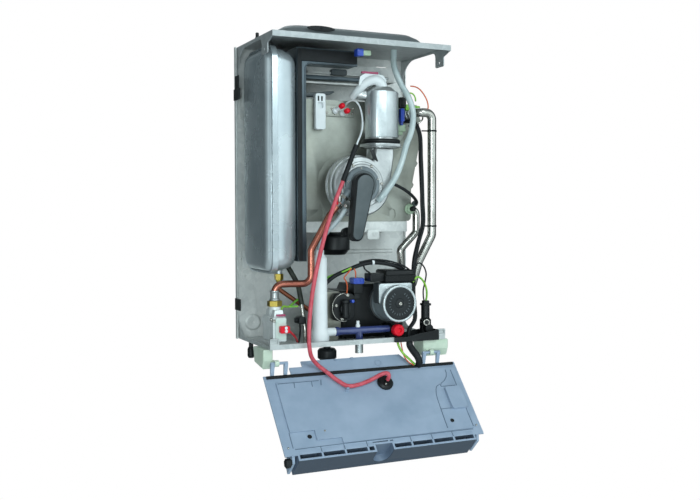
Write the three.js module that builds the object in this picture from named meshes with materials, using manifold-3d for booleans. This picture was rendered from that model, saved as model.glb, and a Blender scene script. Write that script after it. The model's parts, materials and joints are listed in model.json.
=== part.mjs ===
// A wall-hung condensing boiler with its outer case off and its control panel hinged down.
import * as THREE from 'three';
import { mergeVertices } from 'three/addons/utils/BufferGeometryUtils.js';
import Module from 'manifold-3d';

const wasm = await Module();
wasm.setup();

// Driving dimensions in millimetres: x to the right seen from the front, y into the wall, z up
const caseWidth = 450;
const backWidth = 426;
const chassisWidth = 414;
const chassisHeight = 654;
const topDepth = 244;
const railDepth = 220;
const sheet = 2;
const seat = 0.3;
const overrun = 2;
const hangHeight = 610;
const weld = 0.0005;
const openAngle = THREE.MathUtils.degToRad(136.2);

// Planes that the pieces are set against
const backFront = -sheet;
const onBack = backFront - seat;
const onFloor = sheet + seat;
const topUnderside = chassisHeight - sheet;

// Side counts of round pieces
const pipeSides = 10;
const drumSides = 24;
const smallSides = 12;

// Sizes of each piece, in millimetres
const backFold = { depth: 12, beadHeight: 11, beadProud: 3, beadLevel: 192, beadMargin: 33 };
const pressing = { inset: 40, level: 35, outer: 19, rim: 15, well: 11, eye: 2.5, proud: 2.5 };
const hangSlot = { spread: 152, drop: 26, width: 36, height: 14 };
const topFold = { lip: 10, webDrop: 74, webReach: 66, stripDrop: 5, tabPlace: 194, tabWidth: 38 };
const topTab = { drop: 40, hole: 3, holeRise: 10, slope: 14, corner: 5 };
const floorFold = { railHeight: 10.5, railReturn: 8, webHeight: 60, webReach: 56, webStrip: 7 };
const railEnd = { width: 20, height: 23, depth: 6 };
const drainHole = 9.5;

const hood = { left: -180, right: 163, front: -224, back: -29, corner: 45, height: 22 };
const hoodSteps = { skirt: 5, shoulder: 13, shoulderInset: 8, crownInset: 24 };
const flue = { outer: 62, inner: 52, rise: 2.5, depth: 14 };

const vessel = { seam: -184, outerDepth: 19, innerDepth: 55, depth: 163, standOff: 22.7 };
const vesselForm = { bottom: 160, headroom: 20, corner: 28, bandWidth: 13, bandProud: 5, outerInset: 16, innerInset: 22 };
const spigot = { x: -152, y: -120, radius: 8, drop: 8, root: 22 };
const strap = { shift: 8, width: 20, thickness: 2.5, tail: 67.5, upperLevel: 560, lowerLevel: 200, hole: 3 };
const unionNut = { radius: 10, height: 13, coneRadius: 6.5, tailRadius: 7.5, tailHeight: 5 };

const chamber = { front: -175, depth: 50, bar: 19.5, bottom: 180, headroom: 16, arm: 140, armHeight: 32 };
const chamberForm = { gauge: 2, corner: 14, footBar: 21, footHeight: 80 };
const shelfRail = { left: -95, right: 157, bottom: 589, height: 35, reach: 58, tab: 30, tabHeight: 8 };

const crossbar = { left: -93, right: 158, bottom: 241, height: 23.7, front: -126, pad: 7, padDepth: 24 };
const exchanger = { left: -92, right: 165, height: 256, standOff: 17.7, depth: 96.7, foot: 9, bevel: 4 };
const coverPlate = { thickness: 4, overLeft: 11, overRight: 27, overTop: 6, overBottom: 7, corner: 12 };
const coverWaist = { inset: 21, slantRise: 72, slantDrop: 95 };
const coverForm = { lobe: 9, lobePitch: 50, lobeRise: 34, recess: 76, recessDepth: 2, bandHeight: 31 };
const coverSlot = { inset: 48, rise: 5, width: 15, height: 23 };
const port = { x: 168, belowTop: 22, radius: 12, length: 19 };
const clampPlug = { x: -59, bottom: 467, width: 24, height: 79, depth: 12, slot: 5 };

const fan = { x: 13, z: 345, depth: 46, wall: 4, tongueRadius: 64, spiralGain: 8, bevel: 3 };
const fanRidge = { proud: 3, rearWidth: 6, start: 15, width: 15, bevel: 1.5 };
const fanTurns = { tongueAngle: 62, leaveAngle: 345, power: 0.7, steps: 30 };
const outlet = { left: 32, right: 81, rise: 82, shoulder: 62, inletRadius: 28, shaftHole: 9 };
const motor = { radius: 40, depth: 26.4, noseRadius: 30, noseDepth: 8, rib: 1.5 };
const rotor = { radius: 54, eye: 30, blades: 22, disc: 2, blade: 1.6, clearance: 4, hub: 7 };
const rotorForm = { ring: 2, sweepAngle: 38, bladeFoot: 33, bladeSteps: 3 };
const inletRing = { radius: 40, depth: 7.7, bore: 18 };
const gasArm = { radius: 7, reachX: -21, reachZ: 331.6, y: -203 };
const silencer = { topX: 2, topZ: 346, topRadius: 23, footX: -16, footZ: 238, footRadius: 15 };
const silencerForm = { depth: 28, bevel: 5, neckRadius: 20, neckDepth: 8.2, neckX: 5, neckZ: 347 };

const mixer = { radius: 35, flange: 38, flangeHeight: 9.7, height: 120, dome: 17, backRadius: 23 };
const mixerArm = { radius: 13, reach: 50, level: 112, drop: 8, backLevel: 50 };
const clampRing = { wall: 8, height: 9 };

const valve = { left: -198, right: -169, front: -213, back: -150, bottom: 14, height: 54, bevel: 3 };
const valveHead = { height: 13, inset: 3, bossRadius: 13, bossHeight: 6, footRadius: 12 };
const valveSide = { coilRadius: 13, coilReach: 12, coilLevel: 40 };
const gasNut = { radius: 16, height: 12, bore: 7.8 };
const gasPipe = { radius: 7.5, bend: 18, riseLevel: 134, elbowX: -107, elbowY: -197, kneeLevel: 205 };
const gasReach = { crookX: -66, crookZ: 279.5, endX: -44, endZ: 305 };
const fillPipe = { radius: 5, bend: 10, dropLevel: 118, kneeX: -105, kneeY: -125, kneeZ: 84, endZ: 70 };
const ventTube = { radius: 4.5, topX: -131, topY: -120, topZ: 166, bendX: -111.5, bendY: -135.5 };
const ventReach = { bendZ: 125, footX: -105.4, footY: -155, bend: 30 };

const trap = { x: -82, y: -184, radius: 16.5, footRadius: 20, top: 204, neck: 9, footHeight: 26 };
const trapSpigot = { radius: 9, level: 27, reach: 33 };
const sump = { x: -14, y: -100, radius: 36, bottom: 190, height: 46, neck: 20, shoulder: 12 };
const drain = { radius: 8, left: -49, right: 80, y: -189, level: 27, teeX: 8, teeRadius: 8, teeDrop: 21 };

const plates = { left: -62, right: -18, front: -150, back: -70, bottom: 20, height: 90, count: 9, groove: 3 };
const block = { left: -14, right: 140, front: -145, back: -50, bottom: 6, height: 118, bevel: 6 };
const blockForm = { shoulder: 31, lowHeight: 104, foot: 16, towerRadius: 14, towerRise: 14 };
const diverter = { x: -20, z: 74.5, radius: 25, depth: 30, capRadius: 13, capDepth: 8, foot: 22 };
const pump = { x: 94, z: 84, radius: 39, faceRadius: 41, depth: 63, back: 44, backDepth: 10 };
const pumpSaddle = { left: 45, right: 39, front: 55, back: 30 };
const pumpFace = { depth: 9.7, dial: 36, dialDepth: 2, screw: 7 };
const terminal = { left: 64, right: 136, front: -208, back: -146, bottom: 130, skirt: 18, lid: 28, bevel: 3 };
const relief = { x: 93, z: 24.5, radius: 9, collar: 12, reach: 57, capRadius: 13.5, capDepth: 15 };
const sensor = { x: 172, y: -190, radius: 13, height: 73, nose: 10, noseReach: 14, noseLevel: 22 };
const tray = { left: 79, right: 187, front: -227.5, back: -172, low: 11, high: 23, bend: 30, wall: 2 };

const flow = { radius: 10, bend: 16, x: 201.8, y: -165, kneeLevel: 233, toeX: 178, toeY: -146, toeZ: 172 };
const flowEnd = { x: 166, y: -133, z: 112 };
const back = { radius: 8.5, bend: 14, x: 192, y: -106, startZ: 292, kneeZ: 239, toeX: 150, toeZ: 198 };
const backEnd = { x: 160, y: -100, z: 112 };

const hinge = { ahead: 11, z: -26, pin: 3, clearance: 0.5, eyeWall: 3.5 };
const loops = { leftStart: -210, rightStart: 143, leftSpan: 37, rightSpan: 43, leg: 8, gauge: 6 };
const leftBlock = { left: -218, right: -197, setback: 12, depth: 68, height: 41, taper: 8 };
const rightBlock = { left: 152, right: 216, setback: 2, depth: 53, height: 37, taper: 8 };
const blockShares = { nose: 0.55, heel: 0.8 };

// Shares of the sizes that the small forms follow
const slotShares = { end: 0.95 };
const strapShares = { end: 0.45 };
const coverSlotShares = { end: 0.48 };
const vesselShares = { corner: 0.4 };
const grooveShares = [0.2, 0.4, 0.6, 0.8];
const plugShares = { lowTop: 0.4, highBottom: 0.6, highTop: 0.75 };
const lugShares = { boss: 1.4 };
const domeShares = { shoulder: 0.92, crown: 0.7, crest: 0.35, crownRise: 0.4, crestRise: 0.8 };
const clampShares = { edge: 0.8, low: 0.3, high: 0.7 };
const coilShares = { shoulder: 0.8 };
const trapShares = { collar: 1.3, shoulder: 0.92 };
const sumpShares = { foot: 0.7 };
const plateShares = { first: 0.25 };
const canShares = { step: 0.4, waist: 0.45, waistRadius: 0.88, rim: 0.8, cap: 0.9 };
const reliefShares = { collar: 0.3, step: 0.35, spigot: 0.8 };
const capShares = { side: 0.8, edge: 0.85, dimple: 0.7, dimpleFoot: 0.4, dimpleMouth: 0.5 };
const sensorShares = { low: 0.55, high: 0.6, neck: 0.75 };
const tapShares = { foot: 0.7, low: 0.8, high: 0.2, shoulder: 0.8 };
const socketShares = { skirt: 0.5, face: 0.75 };
const hook = { leftStart: -202, rightStart: 160, width: 9 };
const sideTap = { x: -195, y: -55, radius: 8, height: 24, stem: 5, drop: 13.7 };
const mainTapSetback = 60;
const mainTap = { x: -56, y: mainTapSetback - railDepth, radius: 21, height: 26, stem: 8, drop: 11.7 };

const panel = { offset: 20.7, start: 16, length: 189, gauge: 3, boxDepth: 51.3 };
const ledge = { left: -164, right: 123, reach: 31, step: 29, stepDrop: 14, chamfer: 26 };
const cells = { left: -199, right: 202, count: 8, beyond: 12, length: 27, wall: 4, depth: 44 };
const notch = { x: -12, radius: 19, depth: 44, run: 16, wall: 4 };
const innerCover = { left: -203, right: 218, start: 36, gauge: 2.5, lean: 11, stepX: 98, step: 10 };
const coverPocket = { width: 52, height: 36, secondWidth: 53, secondHeight: 13 };
const coverBox = { left: 171, right: 209, start: 85, end: 141, proud: 8 };
const fascia = { margin: 28, start: 20, depth: 51, bevel: 6, window: 70, windowDepth: 2 };
const dialKnob = { spread: 110, level: 105, radius: 19, depth: 15, taper: 2, grip: 4, gripRise: 4 };
const leadSocket = { x: 37, level: 59, radius: 18, depth: 8, stemShift: 2, stemRadius: 5.5, stemRise: 4 };

const hingeY = -railDepth - hinge.ahead;

// Routes of the soft leads and hoses, in millimetres, chosen by hand
const leadRadius = 4.5;
const wireRadius = 2;
const sleeveRadius = 5.5;
const loomRadius = 6;
const hoseRadius = 7;
const trapHoseRadius = 6;
const panelLoomRadius = 8;
const wireRoute = [
  [5, -122.9, 524], [7, -134, 530], [15, -146, 533], [22, -156, 524], [24, -170, 499],
  [18, -186, 471], [7, -200, 452], [-1.1, -207.8, 441], [-6, -208.6, 430],
];
const sleeveRoute = [[-6.3, -208.7, 429.4], [-10.9, -209.4, 419], [-35.1, -212.4, 362.9], [-40, -213.5, 352]];
const leadRoute = [
  [-40.3, -213.6, 351.4], [-44.9, -214.6, 341.1], [-62, -222, 307], [-85, -230, 249],
];
// These three are given by how far they lie from the hinge line, as they cross it in front of the rail
const leadDropRoute = [
  [-105, -6, 188], [-119, -6.5, 123], [-127, -7, 60], [-128, -7, 34], [-128, -7, 22],
];
const crossingRoute = [
  [-128, -7, 21.6], [-128, -7, 10], [-122, -4, -16], [-103, 5.4, -37.6], [-94, -2.6, -46], [-90.4, -5.7, -49.4],
];
const loomRoute = [
  [155, -121.4, 494], [155, -131, 494], [164, -152, 489], [171, -165, 462], [171, -170, 404],
  [173, -172, 313], [175, -172, 256], [163, -170, 211], [153, -171, 172], [143, -186, 100],
  [140, -200, 45], [126, -200, 24], [124, -200, 12], [124, -200, 2.4],
];
const airHoseRoute = [
  [114, -146, 651.6], [114, -146, 638], [113, -150, 615], [125, -160, 574], [138, -169, 547], [146, -179, 509],
  [137, -189, 468], [119, -198, 433], [104, -205, 395], [84, -209, 357], [65, -209, 332],
  [54, -206, 318], [50, -199.6, 311],
];
const trapHoseRoute = [
  [-28, -196.6, 294], [-32, -203, 290], [-46, -204, 271], [-64, -197, 250], [-80, -188, 228],
  [-82, -184, 215], [-82, -184, 204.4],
];
const panelLoomRoute = [
  [116, 9.5, -0.4], [116, 9.5, -8], [120, 1, -20], [126.5, -7, -32], [131, -7.5, -43], [133, -0.2, -53],
];
const panelLeadRoute = [
  [-89.7, 21.3, 8.4], [-71, 45, 8.2], [-52, 61, 8.1], [-25, 60, 8.1],
  [-6, 55, 8.6], [8, 52, 13], [20, 50, 21], [30, 50, 27.5], [37.5, 53, 29.5], [39, 58.5, 24.5], [39, 59, 16],
];

// Colours and finishes
const finishes = {
  galvanised: { color: 0xc3c8c9, roughness: 0.45, metalness: 0.7 },
  vesselGrey: { color: 0x9fb0b8, roughness: 0.38, metalness: 0.35 },
  hoodGrey: { color: 0x6d7476, roughness: 0.6, metalness: 0.1 },
  stainless: { color: 0xa9aaa2, roughness: 0.42, metalness: 0.8 },
  castAlloy: { color: 0xd2d5d6, roughness: 0.4, metalness: 0.75 },
  blackPlastic: { color: 0x1c1e21, roughness: 0.5, metalness: 0 },
  blackRubber: { color: 0x18191b, roughness: 0.75, metalness: 0 },
  darkGrey: { color: 0x4d5254, roughness: 0.6, metalness: 0 },
  copper: { color: 0xb9745c, roughness: 0.3, metalness: 0.9 },
  brownCopper: { color: 0x8a5640, roughness: 0.4, metalness: 0.85 },
  brass: { color: 0xc9ae4f, roughness: 0.35, metalness: 0.85 },
  chrome: { color: 0xcfcfca, roughness: 0.15, metalness: 0.95 },
  whitePlastic: { color: 0xe6eaec, roughness: 0.5, metalness: 0 },
  greyHose: { color: 0xa9b4b6, roughness: 0.5, metalness: 0 },
  clearHose: { color: 0xc8d8da, roughness: 0.25, metalness: 0 },
  redLead: { color: 0xc8505e, roughness: 0.5, metalness: 0 },
  redPlastic: { color: 0xd81f35, roughness: 0.35, metalness: 0 },
  bluePlastic: { color: 0x39457d, roughness: 0.35, metalness: 0 },
  paleGreen: { color: 0xc9dcc0, roughness: 0.6, metalness: 0 },
  panelGrey: { color: 0x8494a6, roughness: 0.55, metalness: 0 },
  fasciaGrey: { color: 0x6f7d8d, roughness: 0.5, metalness: 0 },
  loomBlack: { color: 0x1b1c20, roughness: 0.6, metalness: 0 },
};

// Solids

function outwardWelded(geometry) {
  const bare = geometry.clone();
  bare.deleteAttribute('normal');
  bare.deleteAttribute('uv');
  const welded = mergeVertices(bare, weld);
  const index = welded.index.array;
  const place = welded.attributes.position;
  const corners = [new THREE.Vector3(), new THREE.Vector3(), new THREE.Vector3()];
  const kept = [];
  let volume = 0;
  for (let i = 0; i < index.length; i += 3) {
    const [a, b, c] = [index[i], index[i + 1], index[i + 2]];
    if (a === b || b === c || a === c) continue;
    kept.push(a, b, c);
    [a, b, c].forEach((at, k) => corners[k].fromBufferAttribute(place, at));
    volume += corners[0].dot(corners[1].clone().cross(corners[2]));
  }
  if (volume < 0) {
    for (let i = 0; i < kept.length; i += 3) [kept[i], kept[i + 1]] = [kept[i + 1], kept[i]];
  }
  welded.setIndex(kept);
  return welded;
}

function solidOf(geometry) {
  const welded = outwardWelded(geometry);
  return new wasm.Manifold(new wasm.Mesh({
    numProp: 3,
    vertProperties: new Float32Array(welded.attributes.position.array),
    triVerts: new Uint32Array(welded.index.array),
  }));
}

function geometryOf(solid) {
  const mesh = solid.getMesh();
  const geometry = new THREE.BufferGeometry();
  geometry.setAttribute('position', new THREE.BufferAttribute(Float32Array.from(mesh.vertProperties), 3));
  geometry.setIndex(new THREE.BufferAttribute(Uint32Array.from(mesh.triVerts), 1));
  return geometry;
}

function union(first, ...others) {
  return geometryOf(others.reduce((sum, other) => sum.add(solidOf(other)), solidOf(first)));
}

function cut(first, ...others) {
  return geometryOf(others.reduce((rest, other) => rest.subtract(solidOf(other)), solidOf(first)));
}

// Forms

function box(x0, x1, y0, y1, z0, z1) {
  const geometry = new THREE.BoxGeometry(x1 - x0, y1 - y0, z1 - z0);
  return geometry.translate((x0 + x1) / 2, (y0 + y1) / 2, (z0 + z1) / 2);
}

function polygon(points) {
  return new THREE.Shape(points.map(([a, b]) => new THREE.Vector2(a, b)));
}

function roundedRect(a0, a1, b0, b1, radius) {
  const shape = new THREE.Shape();
  const quarter = Math.PI / 2;
  shape.absarc(a1 - radius, b0 + radius, radius, -quarter, 0, false);
  shape.absarc(a1 - radius, b1 - radius, radius, 0, quarter, false);
  shape.absarc(a0 + radius, b1 - radius, radius, quarter, 2 * quarter, false);
  shape.absarc(a0 + radius, b0 + radius, radius, 2 * quarter, 3 * quarter, false);
  shape.closePath();
  return shape;
}

function disc(a, b, radius) {
  const shape = new THREE.Shape();
  shape.absarc(a, b, radius, 0, 2 * Math.PI, false);
  return shape;
}

function prism(shape, depth, curveSegments = 3, bevel = 0) {
  if (bevel === 0) {
    return new THREE.ExtrudeGeometry(shape, { depth, steps: 1, curveSegments, bevelEnabled: false });
  }
  const geometry = new THREE.ExtrudeGeometry(shape, {
    depth: depth - 2 * bevel,
    steps: 1,
    curveSegments,
    bevelEnabled: true,
    bevelThickness: bevel,
    bevelSize: bevel,
    bevelOffset: -bevel,
    bevelSegments: 1,
  });
  return geometry.translate(0, 0, bevel);
}

function turnedFrame(geometry, a, b, c) {
  const matrix = new THREE.Matrix4().makeBasis(
    new THREE.Vector3(...a),
    new THREE.Vector3(...b),
    new THREE.Vector3(...c),
  );
  return geometry.applyMatrix4(matrix);
}

// A shape in x and z, drawn out toward the front from the plane y = start
function frontPrism(shape, depth, start, curveSegments, bevel) {
  const geometry = turnedFrame(prism(shape, depth, curveSegments, bevel), [1, 0, 0], [0, 0, 1], [0, -1, 0]);
  return geometry.translate(0, start, 0);
}

// A shape in y and z, drawn out to the right from the plane x = start
function sidePrism(shape, depth, start, curveSegments, bevel) {
  const geometry = turnedFrame(prism(shape, depth, curveSegments, bevel), [0, 1, 0], [0, 0, 1], [1, 0, 0]);
  return geometry.translate(start, 0, 0);
}

// A shape in x and y, drawn upward from the plane z = start
function risePrism(shape, depth, start, curveSegments, bevel) {
  return prism(shape, depth, curveSegments, bevel).translate(0, 0, start);
}

// Profiles are lists of radius and height, turned about an axis that points up, forward or right
function turned(profile, sides) {
  return new THREE.LatheGeometry(profile.map(([radius, height]) => new THREE.Vector2(radius, height)), sides);
}

function turnedUp(profile, x, y, z, sides = drumSides) {
  return turned(profile, sides).rotateX(Math.PI / 2).translate(x, y, z);
}

function turnedForward(profile, x, y, z, sides = drumSides) {
  return turned(profile, sides).rotateX(Math.PI).translate(x, y, z);
}

function rod(from, to, radius, sides = smallSides) {
  const start = new THREE.Vector3(...from);
  const run = new THREE.Vector3(...to).sub(start);
  const geometry = new THREE.CylinderGeometry(radius, radius, run.length(), sides);
  geometry.translate(0, run.length() / 2, 0);
  const up = new THREE.Vector3(0, 1, 0);
  geometry.applyQuaternion(new THREE.Quaternion().setFromUnitVectors(up, run.normalize()));
  return geometry.translate(start.x, start.y, start.z);
}

// Rings of equal point counts joined into one closed skin, with a fan at each end
function loft(rings) {
  const count = rings[0].length;
  const places = [];
  const faces = [];
  rings.flat().forEach((point) => places.push(...point));
  for (let r = 0; r + 1 < rings.length; r += 1) {
    for (let i = 0; i < count; i += 1) {
      const a = r * count + i;
      const b = r * count + ((i + 1) % count);
      faces.push(a, b, b + count, a, b + count, a + count);
    }
  }
  const last = (rings.length - 1) * count;
  for (let i = 1; i + 1 < count; i += 1) {
    faces.push(0, i + 1, i);
    faces.push(last, last + i, last + i + 1);
  }
  const geometry = new THREE.BufferGeometry();
  geometry.setAttribute('position', new THREE.Float32BufferAttribute(places, 3));
  geometry.setIndex(faces);
  return geometry;
}

// The points of a rounded rectangle, each turned into a place by the given function
function roundedRing(a0, a1, b0, b1, radius, steps, place) {
  const centres = [[a1 - radius, b0 + radius], [a1 - radius, b1 - radius], [a0 + radius, b1 - radius],
    [a0 + radius, b0 + radius]];
  const ring = [];
  centres.forEach(([a, b], corner) => {
    for (let step = 0; step <= steps; step += 1) {
      const angle = (Math.PI / 2) * (corner - 1 + step / steps);
      ring.push(place(a + radius * Math.cos(angle), b + radius * Math.sin(angle)));
    }
  });
  return ring;
}

// A run of straight lengths joined by bends of one radius
class BentRun extends THREE.Curve {
  constructor(points, bend) {
    super();
    this.stations = BentRun.layOut(points.map((point) => new THREE.Vector3(...point)), bend);
  }

  static layOut(points, bend) {
    const heading = (i) => points[i + 1].clone().sub(points[i]).normalize();
    const length = (i) => points[i + 1].distanceTo(points[i]);
    const stations = [{ place: points[0], along: heading(0) }];
    for (let i = 1; i + 1 < points.length; i += 1) {
      const before = heading(i - 1);
      const turn = before.angleTo(heading(i));
      const room = 0.48 * Math.min(length(i - 1), length(i));
      const radius = Math.min(bend, room / Math.tan(turn / 2));
      const axis = before.clone().cross(heading(i)).normalize();
      const inward = axis.clone().cross(before);
      const start = points[i].clone().addScaledVector(before, -radius * Math.tan(turn / 2));
      const centre = start.clone().addScaledVector(inward, radius);
      const steps = Math.max(2, Math.round(turn / (Math.PI / 10)));
      for (let step = 0; step <= steps; step += 1) {
        const angle = (turn * step) / steps;
        const spoke = inward.clone().negate().applyAxisAngle(axis, angle);
        stations.push({
          place: centre.clone().addScaledVector(spoke, radius),
          along: before.clone().applyAxisAngle(axis, angle),
        });
      }
    }
    stations.push({ place: points[points.length - 1], along: heading(points.length - 2) });
    return stations;
  }

  station(t) {
    return this.stations[Math.round(t * (this.stations.length - 1))];
  }

  getPoint(t, target = new THREE.Vector3()) {
    return target.copy(this.station(t).place);
  }

  getTangent(t, target = new THREE.Vector3()) {
    return target.copy(this.station(t).along);
  }

  getUtoTmapping(u) {
    return u;
  }
}

function tube(curve, steps, radius, sides) {
  const section = [];
  for (let i = 0; i < sides; i += 1) {
    const angle = (2 * Math.PI * i) / sides;
    section.push([radius * Math.cos(angle), radius * Math.sin(angle)]);
  }
  return new THREE.ExtrudeGeometry(polygon(section), { steps, bevelEnabled: false, extrudePath: curve });
}

function pipe(points, radius, bend, sides = pipeSides) {
  const run = new BentRun(points, bend);
  return tube(run, run.stations.length - 1, radius, sides);
}

function cord(points, radius, sides = 8) {
  const curve = new THREE.CatmullRomCurve3(points.map((point) => new THREE.Vector3(...point)), false, 'centripetal');
  const steps = Math.max(4, Math.ceil(curve.getLength() / (radius * 5)));
  return tube(curve, steps, radius, sides);
}

function fromHinge(route) {
  return route.map(([x, ahead, z]) => [x, hingeY + ahead, z]);
}

// Assembly helpers
const boiler = new THREE.Group();
const chassis = new THREE.Group();
chassis.position.z = -hangHeight;
boiler.add(chassis);

function piece(name, geometry, finish, parent = chassis) {
  const welded = outwardWelded(geometry).toNonIndexed();
  welded.computeVertexNormals();
  const mesh = new THREE.Mesh(welded, new THREE.MeshStandardMaterial(finish));
  mesh.name = name;
  parent.add(mesh);
  return mesh;
}

// Chassis sheets

function backPanel() {
  const half = backWidth / 2;
  const section = polygon([
    [-half, 0],
    [-half, -backFold.depth],
    [-half + sheet, -backFold.depth],
    [-half + sheet, -sheet],
    [half - sheet, -sheet],
    [half - sheet, -backFold.depth],
    [half, -backFold.depth],
    [half, 0],
  ]);
  const wall = risePrism(section, chassisHeight, 0);
  const slotLevel = chassisHeight - hangSlot.drop;
  const [w, h] = [hangSlot.width / 2, hangSlot.height / 2];
  const slots = [-hangSlot.spread, hangSlot.spread].map((x) => frontPrism(
    roundedRect(x - w, x + w, slotLevel - h, slotLevel + h, h * slotShares.end), sheet + 2 * overrun, overrun, 1,
  ));
  const beadBottom = backFold.beadLevel - backFold.beadHeight / 2;
  const bead = sidePrism(polygon([
    [-sheet / 2, beadBottom],
    [-sheet - backFold.beadProud, beadBottom + backFold.beadHeight / 4],
    [-sheet - backFold.beadProud, beadBottom + (backFold.beadHeight * 3) / 4],
    [-sheet / 2, beadBottom + backFold.beadHeight],
  ]), backWidth - 2 * backFold.beadMargin, -half + backFold.beadMargin);
  const pressed = [-1, 1].map((side) => turnedForward([
    [0, -sheet / 2],
    [pressing.outer, -sheet / 2],
    [pressing.outer, pressing.proud / 4],
    [pressing.rim, pressing.proud],
    [pressing.well, pressing.proud],
    [pressing.eye * 2, pressing.proud / 2],
    [pressing.eye, pressing.proud / 2],
    [pressing.eye, pressing.proud / 4],
    [0, pressing.proud / 4],
  ], side * (half - pressing.inset), -sheet, pressing.level, 18));
  return cut(union(wall, bead, ...pressed), ...slots);
}

function topWeb() {
  const top = topUnderside + sheet / 2;
  const web = new THREE.Shape();
  const stripLevel = topUnderside - topFold.stripDrop;
  web.moveTo(onBack, top);
  web.lineTo(onBack, topUnderside - topFold.webDrop);
  web.absellipse(
    onBack - topFold.webReach, topUnderside - topFold.webDrop, topFold.webReach, topFold.webDrop - topFold.stripDrop,
    0, Math.PI / 2, false,
  );
  const tabBack = -topFold.tabPlace + topFold.tabWidth / 2;
  const tabFront = -topFold.tabPlace - topFold.tabWidth / 2;
  const tabFoot = topUnderside - topTab.drop;
  web.lineTo(tabBack + topTab.slope, stripLevel);
  web.quadraticCurveTo(tabBack, stripLevel, tabBack, stripLevel - topTab.slope);
  web.lineTo(tabBack, tabFoot + topTab.corner);
  web.quadraticCurveTo(tabBack, tabFoot, tabBack - topTab.corner, tabFoot);
  web.lineTo(tabFront + topTab.corner, tabFoot);
  web.quadraticCurveTo(tabFront, tabFoot, tabFront, tabFoot + topTab.corner);
  web.lineTo(tabFront, stripLevel - topTab.slope);
  web.lineTo(-topDepth + sheet, topUnderside - topFold.lip);
  web.lineTo(-topDepth + sheet, top);
  web.closePath();
  web.holes.push(disc(-topFold.tabPlace, topUnderside - topTab.drop + topTab.holeRise, topTab.hole));
  return web;
}

function topPlate() {
  const half = chassisWidth / 2;
  const plate = box(-half, half, -topDepth, onBack, topUnderside, chassisHeight);
  const lip = box(-half, half, -topDepth, -topDepth + sheet, topUnderside - topFold.lip, topUnderside + sheet / 2);
  const webs = [-half, half - sheet].map((x) => sidePrism(topWeb(), sheet, x, 4));
  return union(plate, lip, ...webs);
}

function floorWeb() {
  const web = new THREE.Shape();
  web.moveTo(onBack, sheet / 2);
  web.lineTo(onBack, floorFold.webHeight);
  web.absellipse(
    onBack - floorFold.webReach, floorFold.webHeight, floorFold.webReach, floorFold.webHeight - floorFold.webStrip,
    0, -Math.PI / 2, true,
  );
  web.lineTo(-railDepth + sheet, floorFold.webStrip);
  web.lineTo(-railDepth + sheet, sheet / 2);
  web.closePath();
  return web;
}

function bottomRail() {
  const half = chassisWidth / 2;
  const railRight = tray.left - seat;
  const plate = box(-half, half, -railDepth, onBack, 0, sheet);
  const trayNotch = box(railRight, tray.right + seat, -railDepth - overrun, tray.back + seat, -overrun, onFloor);
  const drainBore = turnedUp([[0, -overrun], [drainHole, -overrun], [drainHole, onFloor], [0, onFloor]],
    drain.teeX, drain.y, 0, smallSides);
  const rail = box(-half, railRight, -railDepth, -railDepth + sheet, 0, floorFold.railHeight);
  const railTop = box(-half, railRight, -railDepth, -railDepth + floorFold.railReturn,
    floorFold.railHeight - sheet, floorFold.railHeight);
  const webs = [-half, half - sheet].map((x) => sidePrism(floorWeb(), sheet, x, 4));
  const ends = [-half, half - railEnd.width + seat].map((x) => cut(
    box(x, x + railEnd.width - seat, -railDepth, -railDepth + railEnd.depth, sheet / 2, railEnd.height),
    box(x + sheet, x + railEnd.width - sheet - seat, -railDepth - overrun, -railDepth + railEnd.depth - sheet,
      floorFold.railHeight + sheet, railEnd.height - sheet),
  ));
  return union(cut(plate, trayNotch, drainBore), rail, railTop, ...webs, ...ends);
}

function flueHood() {
  const start = chassisHeight + seat;
  const ring = (inset, z) => roundedRing(hood.left + inset, hood.right - inset, hood.front + inset,
    hood.back - inset, hood.corner - inset / 2, 5, (x, y) => [x, y, z]);
  const dome = loft([
    ring(0, start),
    ring(0, start + hoodSteps.skirt),
    ring(hoodSteps.shoulderInset, start + hoodSteps.shoulder),
    ring(hoodSteps.crownInset, start + hood.height),
  ]);
  const x = (hood.left + hood.right) / 2;
  const y = (hood.front + hood.back) / 2;
  const top = start + hood.height;
  const collar = turnedUp([[0, -hoodSteps.skirt], [flue.outer, -hoodSteps.skirt], [flue.outer, flue.rise],
    [0, flue.rise]], x, y, top);
  const bore = turnedUp([[0, -flue.depth], [flue.inner, -flue.depth], [flue.inner, flue.rise + overrun],
    [0, flue.rise + overrun]], x, y, top);
  return cut(union(dome, collar), bore);
}

// Expansion vessel on the left, its flat faces to the left and right

const vesselBack = onBack - vessel.standOff;
const vesselFront = vesselBack - vessel.depth;
const vesselTop = topUnderside - vesselForm.headroom;
const vesselLeft = vessel.seam - vessel.outerDepth;
const vesselRight = vessel.seam + vessel.innerDepth;

function vesselRing(x, inset) {
  return roundedRing(vesselFront + inset, vesselBack - inset, vesselForm.bottom + inset, vesselTop - inset,
    vesselForm.corner - inset * vesselShares.corner, 5, (y, z) => [x, y, z]);
}

function vesselShell(start, depth, inset) {
  const roundShares = [[0, 0], [0.35, 0.05], [0.7, 0.25], [0.9, 0.6], [1, 1]];
  return loft(roundShares.map(([depthShare, insetShare]) => vesselRing(start + depth * depthShare, inset * insetShare)));
}

function vesselInner() {
  const shell = vesselShell(vessel.seam + seat / 2, vessel.innerDepth - seat / 2, vesselForm.innerInset);
  const boss = turnedUp([[0, -spigot.drop], [spigot.radius, -spigot.drop], [spigot.radius, spigot.root],
    [0, spigot.root]], spigot.x, spigot.y, vesselForm.bottom, smallSides);
  return union(shell, boss, vesselBand());
}

function vesselBand() {
  const start = vessel.seam - vesselForm.bandWidth / 2;
  const outer = loft([
    vesselRing(start, -vesselForm.bandProud),
    vesselRing(start + vesselForm.bandWidth, -vesselForm.bandProud),
  ]);
  const inner = loft([vesselRing(start - overrun, -seat), vesselRing(vessel.seam + seat / 2, -seat)]);
  return cut(outer, inner);
}

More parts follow.
